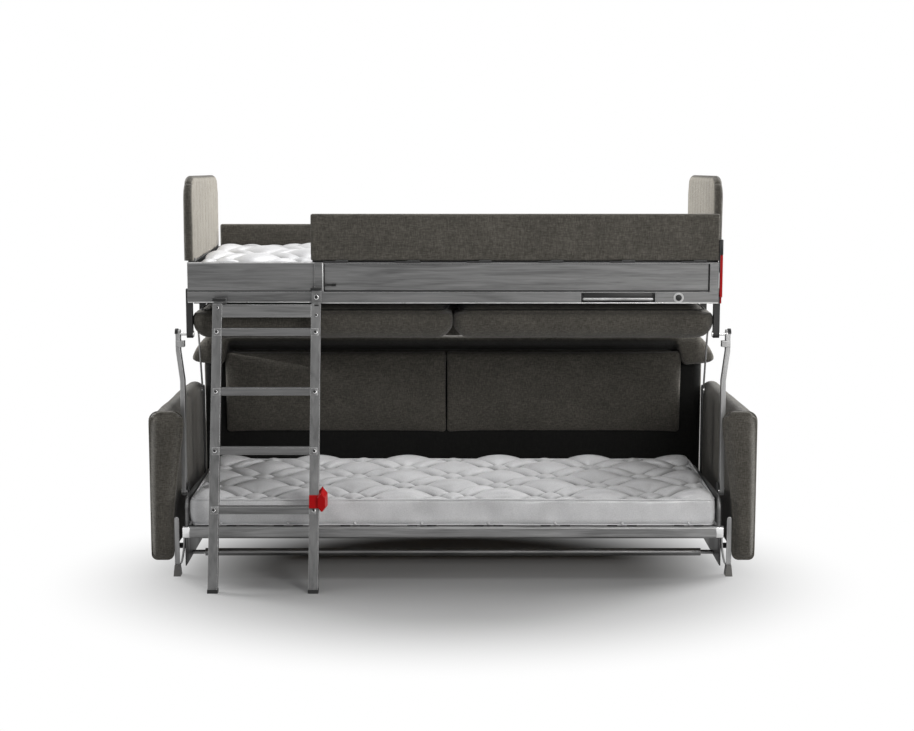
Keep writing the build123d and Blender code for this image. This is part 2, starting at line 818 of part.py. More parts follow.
def bunk_front_rail():
    """Front rail: sheet web with a top lip, over a hollow flange that stands proud below."""
    y_web, y_flange = at(bunk_front_y), at(bunk_front_y - flange_reach)
    z_flange = bunk_bottom + flange_height
    flange = block(-bunk_end, bunk_end, y_flange, y_flange + flange_depth, bunk_bottom, z_flange)
    flange -= block(-bunk_end - overrun, bunk_end + overrun, y_flange + sheet,
                    y_flange + flange_depth - sheet, bunk_bottom + sheet, z_flange - sheet)
    web = block(-bunk_end, bunk_end, y_web, y_web + sheet, z_flange, bunk_top)
    lip = block(-bunk_end, bunk_end, y_web, y_web + lip_depth, bunk_top - sheet, bunk_top)
    rail = flange + web + lip
    rail -= block(handle_left, handle_right, y_flange - overrun, y_flange + sheet + overrun,
                  handle_low - handle_bar_r, handle_top + handle_bar_r)
    rail -= block(ladder_left - slot_clearance, ladder_left + left_hook_width, y_flange - overrun,
                  y_flange + sheet + overrun, left_hook_top - 2 * tongue_thick - slot_clearance,
                  left_hook_top - tongue_thick + slot_clearance)
    return rail


def bunk_rear_rail():
    """Rear rail: channel, open towards the mattress."""
    y1 = at(bunk_back_y)
    rail = block(-bunk_end, bunk_end, y1 - lip_depth, y1, bunk_bottom, bunk_top)
    return rail - block(-bunk_end - overrun, bunk_end + overrun, y1 - lip_depth - overrun, y1 - sheet,
                        bunk_bottom + sheet, bunk_top - sheet)


def bunk_end_rail():
    """Left end rail: channel between the front and rear rails."""
    y0 = at(bunk_front_y - flange_reach + flange_depth)
    y1 = at(bunk_back_y - lip_depth)
    inner = bunk_end - end_rail_depth
    rail = block(-bunk_end, -inner, y0, y1, bunk_bottom, bunk_top)
    return rail - block(-(bunk_end - sheet), -inner + overrun, y0 - overrun, y1 + overrun,
                        bunk_bottom + sheet, bunk_top - sheet)


def bunk_board():
    """Board that closes the bunk's underside and carries the seat cushions."""
    y0 = at(bunk_front_y - flange_reach + flange_depth)
    y1 = at(bunk_back_y - lip_depth)
    return block(-(bunk_end - end_rail_depth), bunk_end - end_rail_depth, y0, y1,
                 bunk_bottom - board_thick + sheet, bunk_bottom + sheet - seat_gap)


def bunk_slats():
    y0 = at(bunk_front_y + sheet + seat_gap)
    y1 = at(bunk_back_y - sheet - seat_gap)
    return slat_row(bunk_end - end_rail_depth, bunk_slat_count, y0, y1, bunk_slat_top)


def bunk_mattress():
    """Upper mattress: low at the ends, where the headboards fold over it, and crowned between."""
    y0 = at(bunk_front_y + lip_depth + soft_gap)
    y1 = at(bunk_back_y - bunk_side_gap)

    def section(inset, crown):
        return pad_face(y0 + inset, y1 - inset, bunk_slat_top + seat_gap,
                        bunk_mattress_edge_top - inset, mattress_corner, (0, crown),
                        (mattress_swell, mattress_swell))
    half = bunk_mattress_half
    flat, high = half * bunk_mattress_flat_share, half * bunk_mattress_high_share
    ends = [(half, section(mattress_swell, 0)), (half - mattress_corner, section(0, bunk_crown_end)),
            (flat, section(0, bunk_crown_end)), (high, section(0, bunk_crown_mid))]
    stations = [(-x, face) for x, face in ends] + [(x, face) for x, face in reversed(ends)]
    return loft_along_x(stations)


def seat_cushion():
    """Left seat cushion, upside down under the bunk: full below its seam, drawn in above it."""
    y0, y1 = at(cushion_front), at(cushion_back)

    def section(inset):
        swell = cushion_swell - inset / 4
        return pad_face(y0 + inset, y1 - inset, cushion_bottom + inset, cushion_top, cushion_corner,
                        (cushion_crown - inset / 4, 0), (swell, swell))
    outer, inner = -cushion_half_length, -cushion_mid_gap
    draw = cushion_end_draw
    return loft_along_x([(outer, section(draw)), (outer + draw / 3, section(draw / 3)),
                         (outer + draw, section(0)), (inner - draw, section(0)),
                         (inner - draw / 3, section(draw / 3)), (inner, section(draw))])


def post(pivot):
    """Left bunk post: hangs from the end rail down to a lever's pin, pocketed on its outer face."""
    y, z = at(pivot[0]), pivot[1]
    half = post_width / 2
    shank = block(-post_outer, -post_inner, y - half, y + half, z, bunk_bottom - seat_gap)
    shank += rod_x(-post_outer, -post_inner, y, z, half)
    head = block(-post_outer, -bunk_end, y - half, y + half, bunk_bottom - seat_gap, post_top)
    head = fillet(head.edges().filter_by(Axis.X).group_by(Axis.Z)[-1], post_round / 2)
    body = shank + head
    margin = post_recess_margin
    body -= block(-post_outer - overrun, -post_outer + post_recess, y - half + margin, y + half - margin,
                  z + half + margin, post_top - margin)
    return body - rod_x(-post_outer - overrun, -post_inner + overrun, y, z, pin_r + pin_clearance)


def bunk_posts():
    return pair(group([post(bunk_pivot), post(rear_bunk_pivot)]))


def bunk_pins():
    """Pins in the posts. The rear ones end just short of the rear levers."""
    y, z = at(bunk_pivot[0]), bunk_pivot[1]
    main = rod_x(-(lever_top_outer + cap_face), -(post_inner - pin_head_thick), y, z, pin_r)
    main += rod_x(-post_inner, -(post_inner - pin_head_thick), y, z, pin_head_r)
    y, z = at(rear_bunk_pivot[0]), rear_bunk_pivot[1]
    rear = rod_x(-(rear_lever_inner - open_pivot_gap), -(post_inner - pin_head_thick), y, z, pin_r)
    rear += rod_x(-post_inner, -(post_inner - pin_head_thick), y, z, pin_head_r)
    return pair(group([main, rear]))


# Guards and headboards

def guard_frame():
    """Frame on the front rail under the guard: posts, foot bar with the handle's window, top strip."""
    y0, y1 = at(frame_front), at(bunk_front_y - flange_reach - frame_gap)
    top = bunk_top - frame_strip
    outer = block(frame_left, frame_right, y0, y1, frame_bottom, bunk_top)
    outer -= block(frame_left + frame_post, frame_right - frame_post, y0 - overrun, y1 + overrun,
                   frame_bar_top, top)
    outer -= block(handle_left, handle_right, y0 - overrun, y1 + overrun,
                   handle_low - handle_bar_r, handle_top + handle_bar_r)
    hole = rod_y(rosette_x, y0 - overrun, y1 + overrun, rosette_height, rosette_r - sheet)
    outer -= hole
    z0 = frame_bar_top + groove_height
    stays = block(frame_left, frame_left + frame_post, y1, at(bunk_front_y), z0, bunk_top)
    stays += block(frame_right - frame_post, frame_right, y1, at(bunk_front_y), z0, bunk_top)
    stays += block(frame_left, frame_right, y1, at(bunk_front_y), top, bunk_top)
    return outer + stays


def guard_hinge_axis():
    return at(guard_front), (bunk_top + guard_bottom) / 2


def guard_knuckles(moving):
    """Barrels of the guard's hinge. The fixed and the moving ones take turns along it."""
    y, z = guard_hinge_axis()
    pitch = (guard_right - guard_left - 2 * guard_knuckle) / guard_knuckle_count
    shapes = []
    for i in range(guard_knuckle_count + 1):
        x = guard_left + guard_knuckle + i * pitch
        if moving:
            x0, x1 = x, x + guard_knuckle / 2 - plane_gap
        else:
            x0, x1 = x - guard_knuckle / 2 + plane_gap, x
        barrel = rod_x(x0, x1 - plane_gap / 2, y, z, guard_hinge_r)
        if moving:
            leaf = block(x0, x1 - plane_gap / 2, y, y + guard_leaf, z, guard_bottom + guard_hinge_r)
        else:
            leaf = block(x0, x1 - plane_gap / 2, y, y + guard_leaf, bunk_top, z)
        shapes.append(barrel + leaf)
    return shapes


def guard_panel():
    """Padded front guard, cut away where the moving leaves of its hinge go in."""
    y0, y1 = at(guard_front), at(guard_front + guard_thick)
    panel = block(guard_left, guard_right, y0, y1, guard_bottom, guard_top)
    panel = fillet(panel.edges().filter_by(Axis.Y), guard_corner / 4)
    panel = fillet(panel.faces().sort_by(Axis.Z)[-1].edges().filter_by(Axis.X), guard_corner / 4)
    for knuckle in guard_knuckles(True):
        box = knuckle.bounding_box()
        panel -= block(box.min.X - soft_gap, box.max.X + soft_gap, y0 - overrun, y0 + guard_leaf + soft_gap,
                       guard_bottom - overrun, guard_bottom + guard_hinge_r + soft_gap)
    return panel


def rear_guard():
    """Padded panel along the back of the bunk, which is the sofa's front when it is closed."""
    y0 = at(bunk_back_y + seat_gap)
    panel = block(-rear_guard_half, rear_guard_half, y0, y0 + rear_guard_thick, bunk_bottom, rear_guard_top)
    return fillet(panel.edges().filter_by(Axis.Y), rear_guard_corner / 2)


def headboard():
    """Left headboard: padded board with large top corners and soft edges."""
    y0, y1 = at(head_front), at(head_back)
    face = Pos((y0 + y1) / 2, (head_bottom + head_top) / 2) * Rectangle(y1 - y0, head_top - head_bottom)
    face = fillet(face.vertices().group_by(Axis.Y)[-1], head_corner)
    board = side_plate_of(face, -(head_inner + head_thick), -head_inner)
    rims = [*board.faces().sort_by(Axis.X)[0].edges(), *board.faces().sort_by(Axis.X)[-1].edges()]
    rims = [e for e in rims if e.center().Z > head_bottom + overrun]
    board = fillet(rims, head_edge)
    for depth in head_bracket_depths:
        half = head_bracket_width / 2 + soft_gap
        board -= block(-(head_inner + head_bracket_thick + soft_gap), -head_inner + overrun,
                       at(depth) - half, at(depth) + half, head_bottom - overrun,
                       head_hinge_height + head_bracket_height)
        board -= block(-(head_inner + head_hinge_r + soft_gap), -head_inner + overrun,
                       at(depth) - half, at(depth) + half, head_bottom - overrun,
                       head_hinge_height + head_hinge_r + soft_gap)
    return board


def headboard_plates():
    """Hinge plates let into the headboards' inner faces, with the moving half of each barrel."""
    shapes = []
    for depth in head_bracket_depths:
        y0, y1 = at(depth) - head_bracket_width / 2, at(depth) + head_bracket_width / 2
        outer = -(head_inner + head_bracket_thick)
        leaf = block(outer, -head_inner, y0, y1, head_hinge_height + head_hinge_r + soft_gap,
                     head_hinge_height + head_bracket_height - soft_gap)
        leaf += block(outer, -head_inner, y0, at(depth) - plane_gap / 2, head_hinge_height,
                      head_hinge_height + head_bracket_height / 2)
        barrel = rod_y(-head_inner, y0, at(depth) - plane_gap / 2, head_hinge_height, head_hinge_r)
        shapes.append(leaf + barrel)
    return shapes


def headboard_hinges():
    """Fixed halves of the headboards' hinges, standing on the end rails."""
    shapes = []
    for depth in head_bracket_depths:
        y0, y1 = at(depth), at(depth) + head_bracket_width / 2
        barrel = rod_y(-head_inner, y0 + plane_gap / 2, y1, head_hinge_height, head_hinge_r)
        foot = block(-(head_inner + head_hinge_r), -(head_inner - head_hinge_r), y0 + plane_gap / 2, y1,
                     bunk_top, head_hinge_height)
        base = block(-bunk_end, -(head_inner - head_hinge_r), y0 + plane_gap / 2, y1,
                     bunk_top, bunk_top + sheet)
        shapes.append(barrel + foot + base)
    return pair(group(shapes))


# Fittings on the bunk

def pull_handle():
    """Bail handle in the window of the guard frame: a round bar with turned-in ends."""
    y = at(frame_front) + handle_bar_r + seat_gap
    x0, x1 = handle_left + handle_margin, handle_right - handle_margin
    path = FilletPolyline((x0, y, handle_top + handle_bar_r), (x0, y, handle_low + handle_bar_r),
                          (x1, y, handle_low + handle_bar_r), (x1, y, handle_top + handle_bar_r),
                          radius=handle_bend)
    return sweep(Plane(origin=path @ 0, z_dir=path % 0) * Circle(handle_bar_r), path=path)


def lock_rosette():
    """Round lock plate in the foot bar: dished ring with its key hole."""
    y0 = at(frame_front) - rosette_proud
    y1 = at(bunk_front_y - flange_reach - frame_gap)
    ring = rod_y(rosette_x, y0, at(frame_front), rosette_height, rosette_r)
    ring += rod_y(rosette_x, at(frame_front), y1, rosette_height, rosette_r - sheet - pin_clearance)
    return ring - rod_y(rosette_x, y0 - overrun, y1 - sheet, rosette_height, rosette_hole_r)


def guard_latch():
    """Latch beside the guard frame's left post: rod with a grip head, which slides away from it."""
    x0 = frame_left + frame_post + seat_gap
    y = at(latch_depth)
    rod = rod_x(x0, x0 + latch_rod, y, latch_height, latch_rod_r)
    head = rod_x(x0 + latch_rod - latch_head, x0 + latch_rod, y, latch_height, latch_head_r)
    return rod + head


def latch_guide():
    """Clip on the rail's web in which the latch rod slides."""
    x0 = frame_left + frame_post + seat_gap + latch_travel / 5
    y = at(latch_depth)
    wall = latch_head_r
    clip = block(x0, x0 + latch_travel, y - wall, at(bunk_front_y), latch_height - wall, latch_height + wall)
    bore = rod_x(x0 - overrun, x0 + latch_travel + overrun, y, latch_height, latch_rod_r + pin_clearance)
    return clip - bore


def release_lever():
    """Red-sleeved strap lever outside the bunk's right end."""
    x0 = bunk_end + release_stay + plane_gap
    x1 = x0 + release_thick
    y0 = at(release_front)
    y1 = y0 + release_width
    x_mid, y_mid = (x0 + x1) / 2, (y0 + y1) / 2
    core_x, core_y = release_thick * release_core_share / 2, release_width * release_core_share / 2
    strap = block(x_mid - core_x, x_mid + core_x, y_mid - core_y, y_mid + core_y,
                  release_bottom, release_top)
    grip = block(x0, x1, y0, y1, release_grip_bottom, release_grip_top)
    grip = fillet(grip.edges().filter_by(Axis.X), release_width / 4)
    grip -= block(x_mid - core_x, x_mid + core_x, y_mid - core_y, y_mid + core_y,
                  release_bottom - overrun, release_top + overrun)
    head = block(x0, x1, y0, y1, release_grip_top + seat_gap, release_top)
    head = fillet(head.edges().filter_by(Axis.X), release_width / 4)
    strap += head
    strap -= rod_x(x0 - overrun, x1 + overrun, y_mid, release_pivot_height, release_pin_r + pin_clearance)
    return strap, grip


def release_mount():
    """Stay on the bunk's right end that holds the release lever's pin."""
    x0 = bunk_end
    y_mid = at(release_front) + release_width / 2
    x1 = x0 + release_stay
    plate = block(x0, x1, y_mid, at(bunk_front_y + lip_depth), bunk_top - 2 * lip_depth, bunk_top)
    arm_up = block(x0, x1, y_mid - release_width / 2, y_mid + release_width / 2,
                   bunk_top - 2 * lip_depth, release_pivot_height + release_width / 2)
    pin = rod_x(x0, x1 + plane_gap + release_thick, y_mid, release_pivot_height, release_pin_r)
    return plate + arm_up + pin


# Ladder

def ladder_y(z):
    """Middle of a stile at a height, as a Y of the part's frame."""
    return at(ladder_foot_y + (ladder_top_y - ladder_foot_y) * z / ladder_top_z)


ladder_lean = math.degrees(math.atan2(ladder_top_y - ladder_foot_y, ladder_top_z))
stile_reach = stile_depth / 2 / math.cos(math.radians(ladder_lean))


def leaning(x0, x1, z0, z1, reach_front, reach_back):
    """Bar that leans with the ladder, cut level at both ends."""
    face = polygon([(ladder_y(z0) - reach_front, z0), (ladder_y(z0) + reach_back, z0),
                    (ladder_y(z1) + reach_back, z1), (ladder_y(z1) - reach_front, z1)])
    return side_plate_of(face, x0, x1)


def ladder_stile(x0):
    """Stile: rectangular tube, cut level at its foot and its top."""
    tube = leaning(x0, x0 + stile_width, ladder_cap, ladder_top_z, stile_reach, stile_reach)
    hollow = leaning(x0 + stile_wall, x0 + stile_width - stile_wall, ladder_cap - overrun,
                     ladder_top_z + overrun, stile_reach - stile_wall, stile_reach - stile_wall)
    return tube - hollow


def ladder_rungs():
    """Flat treads between the stiles, each a tube with its ends open into the stiles."""
    x0, x1 = ladder_left + stile_width, ladder_left + ladder_width - stile_width
    rungs = []
    for top in rung_tops:
        y = ladder_y(top - rung_height / 2)
        tread = block(x0, x1, y - rung_depth / 2, y + rung_depth / 2, top - rung_height, top)
        tread = fillet(tread.edges().filter_by(Axis.X), rung_wall)
        tread -= block(x0 - overrun, x1 + overrun, y - rung_depth / 2 + rung_wall,
                       y + rung_depth / 2 - rung_wall, top - rung_height + rung_wall, top - rung_wall)
        rungs.append(tread)
    return group(rungs)


def ladder_top_plate():
    """Sheet that ties the stiles at the top."""
    x0, x1 = ladder_left + stile_width, ladder_left + ladder_width - stile_width
    return leaning(x0, x1, top_plate_top - top_plate_height, top_plate_top,
                   stile_reach, top_plate_thick - stile_reach)


def ladder_feet():
    """Black caps under the stiles."""
    feet = []
    for x0 in (ladder_left, ladder_left + ladder_width - stile_width):
        cap = leaning(x0 - cap_proud, x0 + stile_width + cap_proud, 0, ladder_cap,
                      stile_reach + cap_proud, stile_reach + cap_proud)
        feet.append(cap)
    return group(feet)


def ladder_hooks():
    """Left hook: low plate whose tongue enters the flange. Right hook: taller plate over the ledge."""
    y_flange = at(bunk_front_y - flange_reach)
    y_back = at(frame_front) - hook_gap
    left_x = ladder_left
    z_seat = ladder_top_z
    left = block(left_x, left_x + left_hook_width, y_back - hook_thick, y_back, z_seat, left_hook_top)
    y_front = ladder_y(z_seat) - stile_reach
    left += block(left_x, left_x + stile_width, y_front, y_back, z_seat, z_seat + hook_thick)
    left += block(left_x, left_x + left_hook_width - slot_clearance, y_back - hook_thick,
                  y_flange + tongue_depth / 2, left_hook_top - 2 * tongue_thick,
                  left_hook_top - tongue_thick)
    right_x = ladder_left + ladder_width - stile_width
    right_hook = block(right_x, right_x + stile_width, y_back - hook_thick, y_back, z_seat, right_hook_top)
    right_hook += block(right_x, right_x + stile_width, y_front, y_back, z_seat, z_seat + hook_thick)
    ledge = bunk_bottom + flange_height
    right_hook += block(right_x, right_x + tongue_width, y_back - hook_thick, y_back + tongue_depth,
                        ledge + hook_gap, ledge + hook_gap + tongue_thick)
    return group([left, right_hook])


def ladder_screws():
    """Round-headed screws through the stiles at every rung."""
    screws = []
    for x0 in (ladder_left, ladder_left + ladder_width - stile_width):
        for top in rung_tops:
            z = top - rung_height / 2
            y = ladder_y(z) - stile_reach
            head = Pos(x0 + stile_width / 2, y, z) * Rot(-ladder_lean, 0, 0) * Rot(90, 0, 0) * Cylinder(
                screw_r, screw_head, align=(Align.CENTER, Align.CENTER, Align.MIN))
            screws.append(head)
    return group(screws)


lock_x = ladder_left + ladder_width


def ladder_lock():
    """Red lock on the right stile: chamfered wing beside it, which turns on a pin."""
    y = ladder_y(lock_height)
    wing = Pos(y, lock_height) * Rectangle(lock_size / 2, lock_size)
    wing = chamfer(wing.vertices(), lock_chamfer / 2)
    wing -= Pos(y, lock_height) * Circle(lock_pin_r + pin_clearance)
    plate = side_plate_of(wing, lock_x + plane_gap, lock_x + plane_gap + lock_wing)
    return swung(plate, (y, lock_height), -ladder_lean)


def ladder_lock_box():
    """Red box clipped round the stile's front, with the wing's pin."""
    z0, z1 = lock_height - lock_box_height / 2, lock_height + lock_box_height / 2
    box = leaning(lock_x - stile_width, lock_x, z0, z1, stile_reach + lock_box_proud,
                  -stile_reach - seat_gap)
    pin = rod_x(lock_x, lock_x + plane_gap + lock_wing, ladder_y(lock_height), lock_height, lock_pin_r)
    return group([box, pin])


def nodes():
    """Every node by name."""
    strap, grip = release_lever()
    plates = headboard_plates()
    return {
        "side_plate_left": side_plate(),
        "side_plate_right": right(side_plate()),
        "base_pins": base_pins(),
        "front_cross_tube": cross_tube(front_tube, True),
        "rear_cross_tube": cross_tube(rear_tube, False),
        "front_legs": pair(front_leg()),
        "front_feet": front_feet(),
        "rear_feet": rear_feet(),
        "arm_spacers": arm_spacers(),
        "arm_left": arm(),
        "arm_right": right(arm()),
        "arm_pad_left": arm_pad(),
        "arm_pad_right": right(arm_pad()),
        "backrest": backrest(),
        "back_hood": back_hood(),
        "back_cushion_left": back_cushion(),
        "back_cushion_right": right(back_cushion()),
        "lower_front_rail": lower_front_rail(),
        "lower_rear_rail": lower_rear_rail(),
        "lower_end_rails": pair(lower_end_rail()),
        "lower_slats": lower_slats(),
        "lower_mattress": lower_mattress(),
        "mattress_hoops": mattress_hoops(),
        "guide_pins": guide_pins(),
        "front_lever_left": front_lever(),
        "front_lever_right": right(front_lever()),
        "lever_caps": lever_caps(),
        "rear_lever_left": rear_lever(),
        "rear_lever_right": right(rear_lever()),
        "bunk_front_rail": bunk_front_rail(),
        "bunk_rear_rail": bunk_rear_rail(),
        "bunk_end_rail_left": bunk_end_rail(),
        "bunk_end_rail_right": right(bunk_end_rail()),
        "bunk_board": bunk_board(),
        "bunk_slats": bunk_slats(),
        "bunk_mattress": bunk_mattress(),
        "seat_cushion_left": seat_cushion(),
        "seat_cushion_right": right(seat_cushion()),
        "bunk_posts": bunk_posts(),
        "bunk_pins": bunk_pins(),
        "guard_frame": guard_frame(),
        "guard_hinge_fixed": group(guard_knuckles(False)),
        "guard_panel": guard_panel(),
        "guard_hinge_moving": group(guard_knuckles(True)),
        "rear_guard": rear_guard(),
        "headboard_left": group([headboard(), *plates]),
        "headboard_right": right(group([headboard(), *plates])),
        "headboard_hinges": headboard_hinges(),
        "pull_handle": pull_handle(),
        "lock_rosette": lock_rosette(),
        "guard_latch": guard_latch(),
        "release_lever": group([strap, grip]),
        "bunk_brackets": group([release_mount(), latch_guide()]),
        "ladder_stile_left": ladder_stile(ladder_left),
        "ladder_stile_right": ladder_stile(ladder_left + ladder_width - stile_width),
        "ladder_rungs": group([ladder_rungs(), ladder_top_plate()]),
        "ladder_hooks": group([ladder_hooks(), ladder_screws()]),
        "ladder_feet": ladder_feet(),
        "ladder_lock_box": ladder_lock_box(),
        "ladder_lock": ladder_lock(),
    }


def main():
    os.makedirs("parts", exist_ok=True)
    built = nodes()
    for name, shape in built.items():
        export_step(shape, f"parts/{name}.step")
    closed = (closed_depth_sum(), closed_height_sum)
    turn = lever_angle(base_pivot, (closed[0] - bunk_pivot[0], closed[1] - bunk_pivot[1]))
    print("nodes", len(built), "front lever turns", turn - lever_angle(base_pivot, bunk_pivot))
    print("rear base pivot", rear_base, "depth sum", closed[0], "front offset", front)


if __name__ == "__main__":
    main()
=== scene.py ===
"""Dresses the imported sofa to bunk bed: finishes, upholstery, mattresses, stage and camera."""
import json
import math

import bmesh
import bpy
import numpy as np
from bpy.props import FloatProperty, FloatVectorProperty, IntProperty, PointerProperty
from mathutils import Matrix, Vector


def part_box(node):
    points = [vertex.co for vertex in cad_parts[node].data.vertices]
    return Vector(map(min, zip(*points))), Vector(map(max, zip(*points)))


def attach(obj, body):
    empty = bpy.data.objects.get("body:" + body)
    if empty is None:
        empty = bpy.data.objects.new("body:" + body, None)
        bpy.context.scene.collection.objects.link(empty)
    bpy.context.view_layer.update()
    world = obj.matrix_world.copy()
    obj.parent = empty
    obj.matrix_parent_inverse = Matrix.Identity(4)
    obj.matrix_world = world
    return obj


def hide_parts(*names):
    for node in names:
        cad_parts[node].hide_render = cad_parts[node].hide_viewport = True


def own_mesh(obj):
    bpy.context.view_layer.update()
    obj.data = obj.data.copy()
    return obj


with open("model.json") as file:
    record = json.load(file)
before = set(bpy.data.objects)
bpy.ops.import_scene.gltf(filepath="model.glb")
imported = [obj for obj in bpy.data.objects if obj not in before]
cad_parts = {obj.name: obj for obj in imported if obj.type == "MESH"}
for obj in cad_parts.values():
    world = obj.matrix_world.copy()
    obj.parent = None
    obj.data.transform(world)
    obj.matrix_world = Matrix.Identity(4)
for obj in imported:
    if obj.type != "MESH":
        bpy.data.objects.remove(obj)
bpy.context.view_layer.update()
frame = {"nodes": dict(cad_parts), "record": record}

bl_info = {
    "name": "Sofa to bunk bed",
    "version": (1, 0, 0),
    "blender": (4, 5, 0),
    "location": "View3D > Sidebar > Bunk Sofa",
    "description": "Builds the soft goods, finishes and stage of a sofa that turns into a bunk bed",
    "category": "Object",
}

SIDES = (("left", -1), ("right", 1))
SOFT_SLOT = "upholstery"
TINY = 1e-9


# Sizes and colours that a user would change

class FinishSettings(bpy.types.PropertyGroup):
    """Colours of the finishes."""
    fabric_dark: FloatVectorProperty(
        name="Fabric dark thread", description="Darker thread of the melange cloth",
        subtype="COLOR", size=3, min=0, max=1, default=(0.038, 0.035, 0.030))
    fabric_light: FloatVectorProperty(
        name="Fabric light thread", description="Lighter thread of the melange cloth",
        subtype="COLOR", size=3, min=0, max=1, default=(0.128, 0.119, 0.102))
    steel: FloatVectorProperty(
        name="Steel", description="Satin grey of the painted steel",
        subtype="COLOR", size=3, min=0, max=1, default=(0.131, 0.131, 0.131))
    ticking: FloatVectorProperty(
        name="Ticking", description="Cloth of the mattresses",
        subtype="COLOR", size=3, min=0, max=1, default=(0.64, 0.64, 0.65))
    red: FloatVectorProperty(
        name="Red", description="Locks and release lever",
        subtype="COLOR", size=3, min=0, max=1, default=(0.40, 0.0005, 0.002))


class SoftSettings(bpy.types.PropertyGroup):
    """Sizes of the soft goods."""
    cell: FloatProperty(
        name="Cell", description="Size of the mesh cells of a cushion",
        unit="LENGTH", min=0.003, max=0.05, default=0.010)
    quilt_width: FloatProperty(
        name="Quilt width", description="Width of one quilted diamond along the mattress",
        unit="LENGTH", min=0.1, max=0.5, default=0.357)
    quilt_depth: FloatProperty(
        name="Quilt depth", description="Depth of one quilted diamond across the mattress",
        unit="LENGTH", min=0.1, max=0.5, default=0.330)
    quilt_groove: FloatProperty(
        name="Quilt groove", description="How deep the quilting pulls in",
        unit="LENGTH", min=0.0, max=0.05, default=0.040)
    piping: FloatProperty(
        name="Piping", description="Radius of the piping of the cushions",
        unit="LENGTH", min=0.0005, max=0.01, default=0.0032)
    frames: IntProperty(
        name="Cloth frames", description="Frames that the cloth of a cushion is simulated for",
        min=2, max=40, default=20)


class StageSettings(bpy.types.PropertyGroup):
    """Light and camera."""
    key_power: FloatProperty(
        name="Key light", description="Power that the lights above and behind share",
        subtype="POWER", min=0, max=5000, default=250)
    fill_power: FloatProperty(
        name="Fill light", description="Power of the light in front",
        subtype="POWER", min=0, max=5000, default=108)
    inner_power: FloatProperty(
        name="Inner light", description="Power of the light low above the lower mattress",
        subtype="POWER", min=0, max=100, default=1.0)
    lens: FloatProperty(
        name="Lens", description="Focal length of the camera in millimetres",
        min=20, max=200, default=71.13)


# Numbers along a surface

def lattice(cells, seed):
    """Pseudo-random number from -1 to 1 for each cell of a lattice, from its mixed bits."""
    x, y, z = (cells[:, i].astype(np.int64) for i in range(3))
    n = (x * 374761393 + y * 668265263 + z * 1440662683 + seed * 362437) & 0xFFFFFFFF
    n = ((n ^ (n >> 13)) * 1274126177) & 0xFFFFFFFF
    return ((n ^ (n >> 16)) & 0xFFFFFF) / 0x7FFFFF - 1


def noise(points, scale, seed):
    """Smooth noise from -1 to 1. scale says how often it turns in a metre along each axis.

    The number in front of it, in the pieces below, is the height of its waves.
    """
    q = points * np.asarray(scale, float)
    base = np.floor(q)
    f = q - base
    f = f * f * (3 - 2 * f)
    total = np.zeros(len(points))
    for corner in range(8):
        step = np.array([corner & 1, corner >> 1 & 1, corner >> 2 & 1])
        weight = np.prod(np.where(step, f, 1 - f), axis=1)
        total += weight * lattice(base + step, seed)
    return total


def share(value, start, end):
    """How far a value has come from start to end, from 0 to 1."""
    return np.clip((value - start) / (end - start), 0, 1)


def smooth_step(value, start, end):
    """The share, eased at both ends."""
    t = share(value, start, end)
    return t * t * (3 - 2 * t)


def bump_at(value, centre, width):
    """Bell from 0 to 1 round a value."""
    return np.exp(-((value - centre) / width) ** 2)


def quarter_round(value):
    """Quarter circle that rises steeply from 0 and is level at 1."""
    return np.sqrt(np.clip(1 - (1 - value) ** 2, 0, 1))


def spread(p, low, high):
    """Middle and half size of a box, and how far out points lie in it: 1 is at a face."""
    middle, half = (low + high) / 2, (high - low) / 2
    return middle, half, np.abs(p - middle) / half


def crowned(across, powers):
    """Crown that falls from 1 to 0 at the edges. powers says how late it falls on each axis."""
    return np.prod([np.clip(1 - across[:, axis] ** power, 0, 1)
                    for axis, power in powers.items()], axis=0)


def fitted(points, low, high):
    """Stretches points along each axis until they fill a box."""
    start, end = points.min(axis=0), points.max(axis=0)
    return low + (points - start) * (high - low) / (end - start)


def round_top(p, low, high, corner, axis):
    """Draws the two upper corners of a panel in to a circle. axis is the one along its width."""
    level = np.clip(p[:, axis], low[axis] + corner, high[axis] - corner)
    along, up = p[:, axis] - level, np.maximum(p[:, 2] - (high[2] - corner), 0)
    length = np.maximum(np.hypot(along, up), TINY)
    drawn = np.where(up > 0, np.maximum(np.abs(along), up) / length, 1)
    p[:, axis] = level + along * drawn
    p[:, 2] -= up * (1 - drawn)


# Shapes

def node_box(node):
    """Lower and upper corner of a node's solid."""
    return [np.array(corner, float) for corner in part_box(node)]


def put(obj, points):
    """Writes vertex places into a mesh."""
    obj.data.vertices.foreach_set("co", np.ascontiguousarray(points, dtype=np.float32).ravel())
    obj.data.update()


def raised(obj, p, normal, height):
    """Writes a piece's points, each moved out along its normal by its height."""
    put(obj, p + normal * height[:, None])


def places(obj):
    """Vertex places of a mesh as an array."""
    out = np.empty(len(obj.data.vertices) * 3, dtype=np.float32)
    obj.data.vertices.foreach_get("co", out)
    return out.reshape(-1, 3).astype(float)


def mark(obj, key, values):
    """Keeps one number for each vertex for a finish to read."""
    layer = obj.data.attributes.new(key, "FLOAT", "POINT")
    layer.data.foreach_set("value", np.ascontiguousarray(values, dtype=np.float32))


def new_object(name, bm, smooth=True):
    """Turns a bmesh into an object of the scene."""
    mesh = bpy.data.meshes.new(name)
    bm.to_mesh(mesh)
    bm.free()
    obj = bpy.data.objects.new(name, mesh)
    bpy.context.scene.collection.objects.link(obj)
    if smooth:
        mesh.polygons.foreach_set("use_smooth", [True] * len(mesh.polygons))
    return obj


def joined(name, parts):
    """One object from several."""
    bm = bmesh.new()
    for part in parts:
        bm.from_mesh(part.data)
        bpy.data.objects.remove(part)
    return new_object(name, bm)


